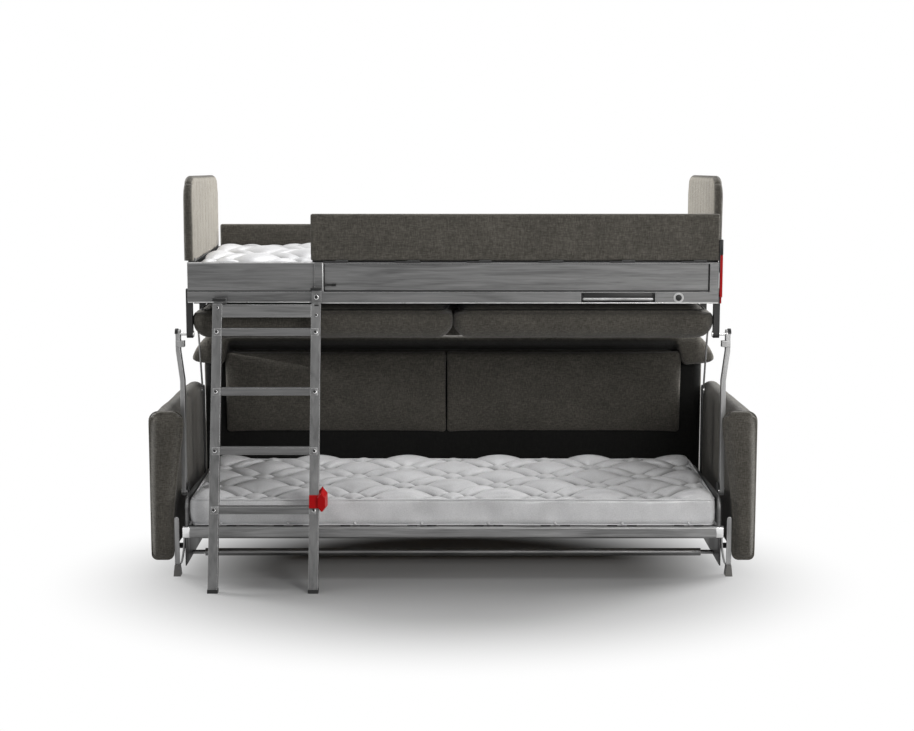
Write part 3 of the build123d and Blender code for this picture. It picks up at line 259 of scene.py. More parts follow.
def soft_box(name, low, high, cell, radius):
    """Closed box of even cells with rounded edges. radius is one number or one for each axis.

    Returns the object, its vertices' places and their normals.
    """
    low, high = np.array(low, float), np.array(high, float)
    radius = np.broadcast_to(np.array(radius, float), 3).copy()
    radius = np.minimum(radius, (high - low) / 2 * 0.999)
    counts = np.maximum(2, np.round((high - low) / cell).astype(int))
    bm = bmesh.new()
    for axis in range(3):
        u, v = (axis + 1) % 3, (axis + 2) % 3
        for side in (-1, 1):
            turn = Matrix.Identity(4)
            for row in range(3):
                turn[row][0] = 1.0 if row == u else 0.0
                turn[row][1] = 1.0 if row == v else 0.0
                turn[row][2] = side if row == axis else 0.0
                turn[row][3] = side if row == axis else 0.0
            bmesh.ops.create_grid(bm, x_segments=int(counts[u]), y_segments=int(counts[v]),
                                  size=1, matrix=turn)
    bmesh.ops.remove_doubles(bm, verts=bm.verts, dist=1e-6)
    bmesh.ops.recalc_face_normals(bm, faces=bm.faces)
    obj = new_object(name, bm)
    unit = places(obj)
    unit /= np.abs(unit).max()
    p = (low + high) / 2 + unit * (high - low) / 2
    inner = np.clip(p, low + radius, high - radius)
    d = (p - inner) / radius
    d = d / np.maximum(np.linalg.norm(d, axis=1, keepdims=True), TINY)
    p = inner + d * radius
    normal = d / radius
    normal /= np.maximum(np.linalg.norm(normal, axis=1, keepdims=True), TINY)
    return obj, p, normal


def tube(name, path, radius):
    """Round cord along a closed row of points."""
    sides = 8
    path = np.array(path, float)
    ahead = np.roll(path, -1, axis=0) - np.roll(path, 1, axis=0)
    ahead /= np.linalg.norm(ahead, axis=1, keepdims=True)
    side = np.cross((0.0, 0.0, 1.0) if abs(ahead[0][2]) < 0.9 else (0.0, 1.0, 0.0), ahead[0])
    side /= np.linalg.norm(side)
    bm = bmesh.new()
    rings = []
    for point, along in zip(path, ahead):
        side = side - along * side.dot(along)
        side /= np.linalg.norm(side)
        other = np.cross(along, side)
        angles = [2 * math.pi * k / sides for k in range(sides)]
        rings.append([bm.verts.new(point + radius * (math.cos(a) * side + math.sin(a) * other))
                      for a in angles])
    for one, two in zip(rings, rings[1:] + rings[:1]):
        for k in range(sides):
            bm.faces.new((one[k], one[(k + 1) % sides], two[(k + 1) % sides], two[k]))
    bmesh.ops.recalc_face_normals(bm, faces=bm.faces)
    return new_object(name, bm)


def rounded_loop(u0, u1, v0, v1, radius, step=0.02):
    """Points round a rectangle with rounded corners, in two coordinates."""
    points = []
    corners = [(u1 - radius, v1 - radius, 0), (u0 + radius, v1 - radius, 90),
               (u0 + radius, v0 + radius, 180), (u1 - radius, v0 + radius, 270)]
    for cu, cv, start in corners:
        for degrees in range(start, start + 91, 15):
            a = math.radians(degrees)
            points.append((cu + radius * math.cos(a), cv + radius * math.sin(a)))
    points.append(points[0])
    dense = []
    for (a0, b0), (a1, b1) in zip(points, points[1:]):
        count = max(1, int(math.hypot(a1 - a0, b1 - b0) / step))
        dense += [(a0 + (a1 - a0) * i / count, b0 + (b1 - b0) * i / count) for i in range(count)]
    return dense


def soften(bm, width):
    """Bevels every edge."""
    bmesh.ops.bevel(bm, geom=bm.edges[:], offset=width, segments=2, profile=0.5,
                    affect="EDGES", material=-1)


def slab(name, low, high, bevel, matrix=None):
    """Plain bar with softened edges."""
    low, high = Vector(low), Vector(high)
    bm = bmesh.new()
    bmesh.ops.create_cube(bm, size=1, matrix=Matrix.Translation((low + high) / 2)
                          @ Matrix.Diagonal((*(high - low), 1)))
    soften(bm, bevel)
    if matrix is not None:
        bmesh.ops.transform(bm, matrix=matrix, verts=bm.verts)
    return new_object(name, bm)


def bars(name, rows, bevel):
    """One object from plain bars. Each row says from where to where a bar goes on each axis."""
    return joined(name, [slab("bar", *zip(*row), bevel) for row in rows])


def disc(name, place, facing, radius, thick, bevel=0.0006, sides=28, taper=1.0):
    """Round or many-sided head that stands on a surface and looks along its facing."""
    bm = bmesh.new()
    bmesh.ops.create_cone(bm, cap_ends=True, segments=sides, radius1=radius,
                          radius2=radius * taper, depth=thick,
                          matrix=Matrix.Translation((0, 0, thick / 2)))
    soften(bm, bevel)
    turn = Vector(facing).to_track_quat("Z", "Y").to_matrix().to_4x4()
    bmesh.ops.transform(bm, matrix=Matrix.Translation(place) @ turn, verts=bm.verts)
    bmesh.ops.recalc_face_normals(bm, faces=bm.faces)
    return new_object(name, bm, smooth=sides > 8)


def cut_level(bm, height, clear_inner=False):
    """Cuts a mesh with a level plane and returns what lies on the cut."""
    return bmesh.ops.bisect_plane(
        bm, geom=bm.verts[:] + bm.edges[:] + bm.faces[:], plane_co=Vector((0, 0, height)),
        plane_no=Vector((0, 0, 1)), clear_inner=clear_inner)["geom_cut"]


def front_plane(node):
    """Point and normal of the flat side of a hard piece that looks to the front."""
    faces = [f for f in frame["nodes"][node].data.polygons if f.normal.y < -0.9]
    biggest = max(faces, key=lambda f: f.area)
    return biggest.center.copy(), biggest.normal.copy()


def on_plane(plane, x, z, lift=0.0):
    """Point of a front plane at a place across and up."""
    centre, normal = plane
    y = centre.y - (normal.x * (x - centre.x) + normal.z * (z - centre.z)) / normal.y
    return Vector((x, y, z)) + normal * lift


# Finishes

def feed(tree, value, socket):
    """Links an output to a socket, or sets the socket to a constant."""
    if isinstance(value, bpy.types.NodeSocket):
        tree.links.new(value, socket)
    else:
        socket.default_value = value


def give(tree, node, **inputs):
    """Feeds a node's inputs by name, with an underscore for a space."""
    for key, value in inputs.items():
        feed(tree, value, node.inputs[key.replace("_", " ")])


def add_node(tree, kind, **inputs):
    node = tree.nodes.new("ShaderNode" + kind)
    give(tree, node, **inputs)
    return node


def operate(tree, kind, operation, *values):
    """Node that reckons with numbers or vectors."""
    node = add_node(tree, kind)
    node.operation = operation
    for socket, value in zip(node.inputs, values):
        feed(tree, value, socket)
    return node


def math_node(tree, operation, *values):
    return operate(tree, "Math", operation, *values).outputs[0]


def half_sum(tree, first, second):
    return math_node(tree, "MULTIPLY", math_node(tree, "ADD", first, second), 0.5)


def node_tree(name):
    """New material, its tree, its shader and the object's own coordinates."""
    material = bpy.data.materials.new(name)
    material.use_nodes = True
    tree = material.node_tree
    tree.nodes.clear()
    shader = add_node(tree, "BsdfPrincipled")
    add_node(tree, "OutputMaterial", Surface=shader.outputs[0])
    return material, tree, shader, add_node(tree, "TexCoord").outputs["Object"]


def speckle(tree, place, scale, **inputs):
    """Value of a noise texture. scale is one number, or one for each axis."""
    if isinstance(scale, tuple):
        place, scale = add_node(tree, "Mapping", Vector=place, Scale=scale).outputs[0], 1.0
    return add_node(tree, "TexNoise", Vector=place, Scale=scale, **inputs).outputs["Fac"]


def ramp(tree, value, stops):
    """Colour that follows a value through stops."""
    node = add_node(tree, "ValToRGB", Fac=value)
    elements = node.color_ramp.elements
    while len(elements) < len(stops):
        elements.new(0.5)
    for element, (place, colour) in zip(elements, stops):
        element.position = place
        element.color = (*colour, 1)
    return node.outputs[0]


def blend(tree, factor, first, second):
    """Colour between two."""
    mix = tree.nodes.new("ShaderNodeMix")
    mix.data_type = "RGBA"
    give(tree, mix, Factor=factor, A=first, B=second)
    return mix.outputs["Result"]


def marked(tree, key):
    """What mark wrote on the piece."""
    node = add_node(tree, "Attribute")
    node.attribute_name = key
    return node.outputs["Fac"]


def bump(tree, height, distance, strength, **normal):
    return add_node(tree, "Bump", Height=height, Distance=distance, Strength=strength,
                    **normal).outputs[0]


def rounded_edges(tree, radius):
    """Normal that rounds sharp edges off."""
    bevel = add_node(tree, "Bevel", Radius=radius)
    bevel.samples = 4
    return bevel.outputs[0]


def painted_edge_highlights(tree, rounded, colour, edge):
    """Mixes a lighter grey in where the surface turns sharply, as a painted highlight along the
    edges.
    """
    flat = add_node(tree, "NewGeometry").outputs["True Normal"]
    turn = operate(tree, "VectorMath", "DOT_PRODUCT", rounded, flat).outputs["Value"]
    edge_highlight = add_node(tree, "MapRange", Value=turn, From_Min=0.995, From_Max=0.90)
    return blend(tree, edge_highlight.outputs[0], colour, (edge, edge, edge, 1))


def tinted(colour, factor):
    """Darker or lighter colour."""
    return tuple(min(1, c * factor) for c in colour)


def fabric(name, dark, light, inner=0.0):
    """Melange cloth of two threads in a plain weave. inner scales the colour of the side marked
    inner: above 1 it is painted light, below 1 painted shade.
    """
    material, tree, shader, place = node_tree(name)
    upright, level, cloudy = (speckle(tree, place, scale, Detail=2.0, Roughness=0.6)
                              for scale in ((60, 60, 300), (300, 300, 60), (9, 9, 9)))
    threads = math_node(tree, "ADD", upright, level)
    threads = math_node(tree, "ADD", threads, math_node(tree, "MULTIPLY", cloudy, 0.35))
    threads = math_node(tree, "MULTIPLY", threads, 0.43)
    middle = tuple((a * 1.2 + b * 0.8) / 2 for a, b in zip(dark, light))
    stops = ((0.32, dark), (0.49, middle), (0.67, light))
    colour = ramp(tree, threads, stops)
    if inner:
        tints = (1.6, 1.15, 0.95)
        painted_light_and_shade = [(stop, tinted(shade, inner * tint))
                 for (stop, shade), tint in zip(stops, tints)]
        colour = blend(tree, marked(tree, "inner"), colour, ramp(tree, threads, painted_light_and_shade))
    waves = []
    for axis in "XYZ":
        wave = add_node(tree, "TexWave", Vector=place, Scale=420.0, Distortion=1.2)
        wave.bands_direction = axis
        waves.append(wave.outputs["Fac"])
    weave = math_node(tree, "ADD", math_node(tree, "ADD", waves[0], waves[1]), waves[2])
    normal = bump(tree, weave, 0.0004, 0.4, Normal=bump(tree, threads, 0.0016, 0.6))
    give(tree, shader, Base_Color=colour, Normal=normal, Roughness=0.92, Sheen_Weight=0.18,
         Sheen_Roughness=0.45, Specular_IOR_Level=0.2)
    return material


def metal(name, colour, roughness, grain=(7, 60, 150), edge=0.42, metallic=0.85, wave=0.3):
    """Satin steel with a wavy grain along its length, and light edges that are a painted highlight.
    """
    material, tree, shader, place = node_tree(name)
    rounded = rounded_edges(tree, 0.0024)
    fine = speckle(tree, place, grain, Detail=4.0, Roughness=0.6, Distortion=0.6)
    wide = tuple(g * (0.3 if g < 20 else 0.15) for g in grain)
    cloud = speckle(tree, place, wide, Detail=2.0, Distortion=1.4)
    shade = ramp(tree, half_sum(tree, fine, cloud),
                 [(0.36, tinted(colour, 1 - wave)), (0.5, colour),
                  (0.66, tinted(colour, 1 + wave))])
    rough = ramp(tree, cloud, [(0.3, (roughness - 0.05,) * 3), (0.7, (roughness + 0.08,) * 3)])
    give(tree, shader, Base_Color=painted_edge_highlights(tree, rounded, shade, edge), Metallic=metallic,
         Roughness=rough, Normal=bump(tree, fine, 0.0002, 0.3, Normal=rounded))
    return material


def plastic(name, colour, roughness, gloss=0.3):
    """Moulded plastic or lacquer with a fine grain."""
    material, tree, shader, place = node_tree(name)
    grain = speckle(tree, place, 700.0, Detail=2.0)
    normal = bump(tree, grain, 0.00015, 0.3, Normal=rounded_edges(tree, 0.0016))
    give(tree, shader, Base_Color=(*colour, 1), Roughness=roughness, Specular_IOR_Level=gloss,
         Normal=normal)
    return material


def wood(name):
    """Bent laminate with its grain across the bed."""
    material, tree, shader, place = node_tree(name)
    grain = speckle(tree, place, (60, 3, 60), Detail=4.0)
    colour = ramp(tree, grain, [(0.3, (0.38, 0.24, 0.12)), (0.7, (0.60, 0.42, 0.24))])
    give(tree, shader, Base_Color=colour, Roughness=0.45)
    return material


def ticking(name, colour):
    """Satin mattress cloth with a fine jacquard grain, with shade painted dark into its creases."""
    material, tree, shader, place = node_tree(name)
    fine = speckle(tree, place, 260.0, Detail=3.0)
    cloud = speckle(tree, place, 9.0, Detail=2.0)
    cloth = ramp(tree, half_sum(tree, fine, cloud),
                 [(0.35, tinted(colour, 0.86)), (0.65, tinted(colour, 1.10))])
    painted_crease_shade = blend(tree, marked(tree, "crease_shade"), cloth, (*tinted(colour, 0.08), 1))
    give(tree, shader, Base_Color=painted_crease_shade, Roughness=0.28, Sheen_Weight=0.15,
         Specular_IOR_Level=0.55, Normal=bump(tree, fine, 0.0006, 0.5))
    return material


MATERIALS = {}


def dress(obj, slot, finish=None):
    """Gives a piece its finish: the one named, or else the one kept under its record slot."""
    obj.data.materials.clear()
    obj.data.materials.append(MATERIALS[finish or slot])


def trim_piece(obj, body, slot=SOFT_SLOT, finish=None):
    """Seats a small piece in the frame."""
    dress(obj, slot, finish)
    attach(obj, body)
    return obj


def soft_piece(obj, body, nodes=(), slot=SOFT_SLOT, finish=None):
    """Seats a padded piece in the frame."""
    trim_piece(obj, body, slot, finish)
    if nodes:
        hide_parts(*nodes)


class PieceOperator:
    """What the operators share."""
    bl_options = {"REGISTER", "UNDO"}


class BUNK_OT_finishes(PieceOperator, bpy.types.Operator):
    """Make every finish and put it on the hard pieces"""
    bl_idname = "bunk.finishes"
    bl_label = "Finishes"
    looks = {
        "dark_steel": ("side_plate_left", "side_plate_right", "arm_spacers",
                       "guard_hinge_fixed", "guard_hinge_moving"),
        "upright_steel": ("ladder_stile_left", "ladder_stile_right", "ladder_hooks"),
        "light_steel": ("front_legs", "front_lever_left", "front_lever_right", "lock_rosette"),
        "rail_steel": ("front_cross_tube", "lower_front_rail"),
        "satin_steel": ("mattress_hoops",),
    }

    def execute(self, context):
        look = context.scene.bunk_finish
        steel = tuple(look.steel)
        threads = tuple(look.fabric_dark), tuple(look.fabric_light)
        guard_threads = [tinted(thread, 1.20) for thread in threads]
        upright = (60, 60, 7)
        # edge is the grey of the painted highlight that each metal gets on its sharp edges.
        MATERIALS.update({
            "satin_steel": metal("Satin steel", steel, 0.40),
            "rail_steel": metal("Rail steel", tinted(steel, 1.65), 0.40, edge=0.55),
            "upright_steel": metal("Upright steel", steel, 0.40, upright),
            "light_steel": metal("Light steel", tinted(steel, 2.15), 0.38, upright, edge=0.6),
            "dark_steel": metal("Dark steel", (0.012, 0.012, 0.012), 0.45, upright,
                                edge=0.10, metallic=0.3),
            "bright_steel": metal("Chrome", (0.70, 0.70, 0.70), 0.16, upright,
                                  edge=0.9, metallic=1.0, wave=0.06),
            "brushed_bright": metal("Brushed steel", (0.42, 0.42, 0.415), 0.30, upright,
                                    edge=0.7, metallic=1.0),
            "upholstery": fabric("Upholstery", *threads),
            "guard_cloth": fabric("Guard cloth", *guard_threads),
            # Headboards: their marked inner faces are painted paler, as painted light.
            "headboard_cloth": fabric("Headboard cloth", *threads, inner=3.2),
            # Hood: its marked undercut front is painted near black, as painted shade.
            "hood_cloth": fabric("Hood cloth", *threads, inner=0.12),
            # Black cloth for the back lining, and for the painted shadows beside the seat piping
            # and the mattress ties.
            "black_cloth": fabric("Black cloth", (0.004, 0.004, 0.004), (0.012, 0.012, 0.011)),
            "mattress_cloth": ticking("Ticking", tuple(look.ticking)),
            "slat_wood": wood("Slats"),
            "board": plastic("Board", (0.010, 0.010, 0.010), 0.8),
            "black_plastic": plastic("Black plastic", (0.008, 0.008, 0.008), 0.42),
            "red_plastic": plastic("Red plastic", tuple(look.red), 0.42, gloss=0.15),
            "foot_plastic": plastic("Foot plastic", (0.15, 0.147, 0.14), 0.5),
            "back_foot": plastic("Back foot", (0.012, 0.012, 0.012), 0.5),
        })
        finish = {node: key for key, nodes in self.looks.items() for node in nodes}
        for row in frame["record"]["subparts"]:
            dress(frame["nodes"][row["node"]], row["material_slot"], finish.get(row["node"]))
        return {"FINISHED"}


def quilt(points, settings):
    """Height of the quilting, and the creases that get painted shade: wide pillows between bands of
    twin seams that cross.
    """
    x = points[:, 0] + 0.010 * noise(points, (5, 5, 5), 71)
    y = points[:, 1] + 0.008 * noise(points, (5, 5, 5), 72)
    s = x / settings.quilt_width + y / settings.quilt_depth
    t = x / settings.quilt_width - y / settings.quilt_depth
    band, seam = 0.15, 0.028
    height = np.full(len(points), settings.quilt_groove)
    crease_shade = np.zeros(len(points))
    for value in (s, t):
        off = np.abs(value - np.round(value))
        inside = off < band
        pillow = quarter_round(np.where(inside, 1 - off / band, (off - band) / (0.5 - band)))
        height *= np.where(inside, 0.80, 1.0) * (0.06 + 0.94 * pillow)
        crease_shade = np.maximum(crease_shade, bump_at(off, band, seam))
    return height - settings.quilt_groove * 0.70, crease_shade


TIE_START = 0.11


def mattress(name, node, body, settings, cell, crown, ties):
    """Quilted mattress with dimpled borders, and tape edges where it has ties.

    ties is how far apart they are.
    """
    low, high = node_box(node)
    swell, border, tie_depth, tie_width = 0.005, 0.055, 0.0090, 0.045
    low[1] += swell
    high[1] -= swell
    high[2] -= crown
    obj, p, normal = soft_box(name, low, high, cell, (0.026, 0.026, 0.024))
    middle, half, across = spread(p, low, high)
    top = smooth_step(normal[:, 2], 0.35, 0.9)
    side = smooth_step(np.abs(normal[:, 0]) + np.abs(normal[:, 1]), 0.5, 0.95) * (1 - top)
    edge = np.min(half[:2] - np.abs(p[:, :2] - middle[:2]), axis=1)
    rim = quarter_round(np.clip(edge / border, 0, 1))
    inward = crowned(across, {0: 6, 1: 4})
    pillows, crease_shade = quilt(p, settings)
    groove = settings.quilt_groove
    height = top * ((pillows + groove * 0.30) * rim - groove * 0.20)
    height += top * (crown * 0.6 * inward + 0.0035 * noise(p, (6, 6, 6), 3) * inward)
    belly = np.sin(math.pi * share(p[:, 2], low[2], high[2]))
    dimple = noise(p, (8, 8, 2), 5) * 0.0045 + noise(p, (19, 19, 5), 6) * 0.0022
    dimple = belly * (swell * 0.5 + dimple * 2.0)
    height += side * (dimple + 0.0008 * noise(p, (60, 60, 25), 7))
    if ties:
        step = (p[:, 0] - low[0] - TIE_START) / ties
        off = (step - np.round(step)) * ties
        height -= side * belly * tie_depth * bump_at(off, 0, tie_width)
    raised(obj, p, normal, height)
    # Painted shade: the ticking darkens the quilting's creases by this mark.
    mark(obj, "crease_shade", crease_shade * top * rim * (0.75 + 0.25 * noise(p, (14, 14, 14), 9)))
    soft_piece(obj, body, (node,), "mattress_cloth")
    squashed = [obj]
    if ties:
        squashed += mattress_edges(name, body, low, high, ties)
    for piece in squashed:
        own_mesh(piece)


def mattress_edges(name, body, low, high, ties):
    """Taped edges of a mattress, with ties along the lower one and dark strips of painted shadow
    beside them.
    """
    tape, tie, shadow_gap_width = 0.0032, 0.0055, 0.036
    parts = []
    for z, inset in ((high[2] - 0.010, 0.0030), (low[2] + 0.0045, 0.0045)):
        loop = rounded_loop(low[0] + inset, high[0] - inset, low[1] + inset, high[1] - inset, 0.022)
        path = np.array([(x, y, z) for x, y in loop])
        path[:, 2] += 0.0016 * noise(path, (12, 12, 12), 8)
        parts.append(tube("tape", path, tape))
    shadow_gaps = []
    for x in np.arange(low[0] + TIE_START, high[0] - 0.05, ties):
        for y in (low[1] - 0.001, high[1] + 0.001):
            bm = bmesh.new()
            bmesh.ops.create_uvsphere(bm, u_segments=12, v_segments=8, radius=tie,
                                      matrix=Matrix.Translation((x, y, low[2] + 0.010)))
            parts.append(new_object("tie", bm))
            shadow_gaps += [((x + off - shadow_gap_width / 2, x + off + shadow_gap_width / 2), (y - 0.0015, y + 0.0015),
                      (low[2] - 0.0002, low[2] + 0.0034)) for off in (-0.035, 0.035)]
    return [trim_piece(bars(name + "_gaps", shadow_gaps, 0.0012), body, "mattress_cloth", "black_cloth"),
            trim_piece(joined(name + "_edges", parts), body, "mattress_cloth")]


class BUNK_OT_mattresses(PieceOperator, bpy.types.Operator):
    """Quilted mattresses of the lower bed and of the bunk"""
    bl_idname = "bunk.mattresses"
    bl_label = "Mattresses"

    def execute(self, context):
        settings = context.scene.bunk_soft
        mattress("lower_mattress_soft", "lower_mattress", "lower_bed", settings,
                 cell=0.0068, crown=0.004, ties=0.24)
        mattress("bunk_mattress_soft", "bunk_mattress", "bunk", settings,
                 cell=0.0085, crown=0.020, ties=0)
        return {"FINISHED"}


def inflate(obj, frames, cap):
    """Lets the cover of a pad swell under pressure as cloth, and keeps the shape that it takes.

    cap is how far a point may move.
    """
    start = places(obj)
    cloth = obj.modifiers.new("Cloth", "CLOTH")
    cloth.settings.quality = 4
    cloth.settings.mass = 0.3
    cloth.settings.use_pressure = True
    cloth.settings.uniform_pressure_force = 4.0
    cloth.settings.effector_weights.gravity = 0
    cloth.settings.tension_stiffness = 15
    cloth.settings.bending_stiffness = 0.4
    scene = bpy.context.scene
    for i in range(1, frames + 1):
        scene.frame_set(i)
    end = places(obj.evaluated_get(bpy.context.evaluated_depsgraph_get()))
    obj.modifiers.remove(cloth)
    scene.frame_set(1)
    moved = np.nan_to_num(end - start)
    moved *= np.minimum(1, cap / np.maximum(np.linalg.norm(moved, axis=1, keepdims=True), TINY))
    put(obj, start + moved)


def cushion(name, low, high, settings, radius, cap, drawn=None):
    """Box of cloth that is drawn in, swells, and is stretched back to its size."""
    obj, p, normal = soft_box(name, low, high, settings.cell, radius)
    if drawn is not None:
        middle, half = (low + high) / 2, (high - low) / 2
        for axis in (0, 1):
            p[:, axis] = middle[axis] + (p[:, axis] - middle[axis]) * (1 - drawn(p) / half[axis])
    put(obj, p)
    inflate(obj, settings.frames, cap)
    p = fitted(places(obj), low, high)
    return obj, p, normal


class BUNK_OT_seat_cushions(PieceOperator, bpy.types.Operator):
    """Seat cushions under the bunk, upside down: round below their seam and drawn in above it"""
    bl_idname = "bunk.seat_cushions"
    bl_label = "Seat cushions"
    reach = 0.942
    inset = 0.006
    sag = 0.008
    seam_drop = 0.030
    drawn_in = 0.042
    meet = 0.0015
    meet_reach = 0.060
    bridge_half = 0.030
    bridge_front = -0.12
    bridge_inset = 0.03

    def execute(self, context):
        settings = context.scene.bunk_soft
        for side, sign in SIDES:
            node = f"seat_cushion_{side}"
            obj, seam = self.cushion(node, sign, settings)
            soft_piece(obj, "bunk", (node,))
            path = self.seam_line(obj, seam)
            trim_piece(tube(f"seat_piping_{side}", path, settings.piping), "bunk")
            # A thin black cord just above the piping is a painted shadow of the piping.
            above = path + (0, 0, settings.piping * 1.6)
            trim_piece(tube(f"seat_piping_shadow_{side}", above, settings.piping * 0.8), "bunk",
                       finish="black_cloth")
        low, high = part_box("seat_cushion_left")
        half, inset = self.bridge_half, self.bridge_inset
        bridge, p = soft_box("seat_bridge", (-half, self.bridge_front, low[2] - 0.010),
                             (half, high[1] - inset, high[2] - inset), 0.01, 0.006)[:2]
        put(bridge, p)
        soft_piece(bridge, "bunk", ())
        return {"FINISHED"}

    def cushion(self, node, sign, settings):
        low, high = node_box(node)
        if sign < 0:
            low[0] = -self.reach
        else:
            high[0] = self.reach
        low[1] += self.inset
        high[1] -= self.inset
        low[2] -= self.sag
        seam = high[2] - self.seam_drop

        def drawn(p):
            return smooth_step(p[:, 2], seam - 0.004, high[2]) * self.drawn_in

        obj, p, normal = cushion(node + "_soft", low, high, settings, (0.050, 0.050, 0.056),
                                 0.010, drawn)
        out = np.abs(p[:, 0])
        near = np.clip(1 - (out - self.meet) / self.meet_reach, 0, 1)
        near *= smooth_step(p[:, 1], low[1] + 0.05, low[1] + 0.20)
        p[:, 0] = sign * np.maximum(out - near * (out - self.meet), self.meet)
        across = spread(p, low, high)[2]
        bottom = smooth_step(-normal[:, 2], 0.1, 0.8)
        crown = crowned(across, {0: 3, 1: 2.5})
        height = bottom * (0.006 * crown + 0.0040 * noise(p, (6, 6, 6), 11) * crown)
        side = smooth_step(np.hypot(normal[:, 0], normal[:, 1]), 0.5, 0.95)
        pucker, dent = noise(p, (38, 38, 5), 13), noise(p, (6, 6, 3), 17) ** 2
        for deep, below, width in ((0.0022 * pucker, 0.012, 0.022), (0.0030, 0.030, 0.030),
                                   (-0.0090, 0, 0.0055)):
            height += side * deep * bump_at(p[:, 2], seam - below, width)
        height -= side * 0.0035 * dent
        raised(obj, p, normal, height)
        return obj, seam

    def seam_line(self, obj, height):
        """Closed line where a cushion is cut level, as points in order round it."""
        bm = bmesh.new()
        bm.from_mesh(obj.data)
        cut = cut_level(bm, height)
        points = np.array([v.co[:] for v in cut if isinstance(v, bmesh.types.BMVert)])
        bm.free()
        middle = points.mean(axis=0)
        angle = np.arctan2(points[:, 1] - middle[1], points[:, 0] - middle[0])
        return points[np.argsort(angle)]


class BUNK_OT_back_cushions(PieceOperator, bpy.types.Operator):
    """Back cushions between the hood and the lower mattress"""
    bl_idname = "bunk.back_cushions"
    bl_label = "Back cushions"
    middle = -0.027
    meet = 0.0015
    inset = 0.012
    lean = 0.048

    def execute(self, context):
        settings = context.scene.bunk_soft
        for side, sign in SIDES:
            node = f"back_cushion_{side}"
            low, high = node_box(node)
            (high if sign < 0 else low)[0] = self.middle + sign * self.meet
            low[1] += self.inset
            obj, p, normal = cushion(node + "_soft", low, high, settings, (0.016, 0.020, 0.015),
                                     0.012)
            half, across = spread(p, low, high)[1:]
            rise = share(p[:, 2], low[2], high[2])
            p[:, 1] += self.lean * (1 - rise) ** 1.6 * (high[1] - p[:, 1]) / (high[1] - low[1])
            face = smooth_step(-normal[:, 1], 0.1, 0.8)
            crown = crowned(across, {0: 4, 2: 3})
            height = face * (0.006 * crown + 0.0035 * noise(p, (5, 5, 6), 21) * crown)
            edge = np.clip(1 - across[:, 0], 0, 1) * half[0]
            height += face * 0.0030 * noise(p, (7, 7, 30), 23) * bump_at(edge, 0.03, 0.04)
            height += face * 0.0022 * noise(p, (30, 7, 7), 25) * bump_at(across[:, 2], 1.0, 0.18)
            raised(obj, p, normal, height)
            soft_piece(obj, "stand", (node,))
        return {"FINISHED"}


class BUNK_OT_back(PieceOperator, bpy.types.Operator):
    """Backrest and the hood along its top, with mitred seams and drooping ends"""
    bl_idname = "bunk.back"
    bl_label = "Back"
    slope = (0.925, 1.012)
    slope_foot = 0.660
    lining_reach = 1.006
    lining_foot = 0.20
    hood_base = 0.703
    play = 0.004
    mitre_top = 0.894
    mitre_low = 0.923
    nose_start = 0.985
    nose_fall = 0.080
    nose_lift = 0.010
    nose_back = 0.020
    undercut = 0.056

    def execute(self, context):
        low, high = node_box("backrest")
        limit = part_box("back_hood")[0][2]
        obj, p, normal = soft_box("backrest_soft", low, high, 0.02, 0.016)
        fall = smooth_step(np.abs(p[:, 0]), *self.slope) * (high[2] - self.slope_foot)
        p[:, 2] -= fall * share(p[:, 2], low[2], high[2])
        raised(obj, p, normal, np.minimum(0.002 * noise(p, (4, 4, 4), 31), 0))
        soft_piece(obj, "stand", ("backrest",))
        self.hood(limit)
        black_cloth, p = soft_box(
            "back_lining", (-self.lining_reach, low[1] - 0.004, self.lining_foot),
            (self.lining_reach, low[1] + 0.002, limit + 0.004), 0.03, 0.0015)[:2]
        put(black_cloth, p)
        soft_piece(black_cloth, "stand", (), "board", "black_cloth")
        return {"FINISHED"}

    def hood(self, limit):
        low, high = node_box("back_hood")
        low[2] = self.hood_base
        low[1] += self.play
        high[2] -= self.play
        obj, p, normal = soft_box("back_hood_soft", low, high, 0.009, (0.020, 0.024, 0.022))
        reach = np.abs(p[:, 0])
        rise = share(p[:, 2], self.hood_base, high[2])
        droop = smooth_step(reach, 0.897, 0.935)
        nose = share(reach, self.nose_start, high[0])
        p[:, 2] -= (self.hood_base - limit) * droop * (1 - rise)
        p[:, 2] -= self.nose_fall * nose ** 1.5 * rise
        p[:, 2] += self.nose_lift * nose ** 2 * (1 - rise)
        front = share(p[:, 1], high[1], low[1])
        p[:, 1] += self.nose_back * nose * front
        off = reach - (self.mitre_top + (self.mitre_low - self.mitre_top) * (1 - rise))
        under = smooth_step(1 - rise, 0.10, 0.85) * (1 - smooth_step(off, -0.012, 0.0))
        p[:, 1] += self.undercut * front * under
        height = -0.0040 * bump_at(off, 0, 0.0045)
        for place in (0.020, -0.020):
            height += 0.0025 * bump_at(off, place, 0.022)
        height += 0.0030 * noise(p, (5, 9, 9), 33)
        height += 0.0015 * noise(p, (26, 9, 9), 35) * bump_at(off, 0, 0.06)
        centre = np.cos(np.clip((rise - 0.5) * math.pi, -1.5, 1.5))
        height += 0.004 * centre * smooth_step(-normal[:, 1], 0.3, 0.9)
        raised(obj, p, normal, np.minimum(height, self.play))
        soft_piece(obj, "stand", ("back_hood",), finish="hood_cloth")
        # Painted shade: marks the undercut front between the mitres, which the hood cloth paints
        # near black.
        mark(obj, "inner", smooth_step(under, 0.03, 0.25) * smooth_step(front, 0.3, 0.7))


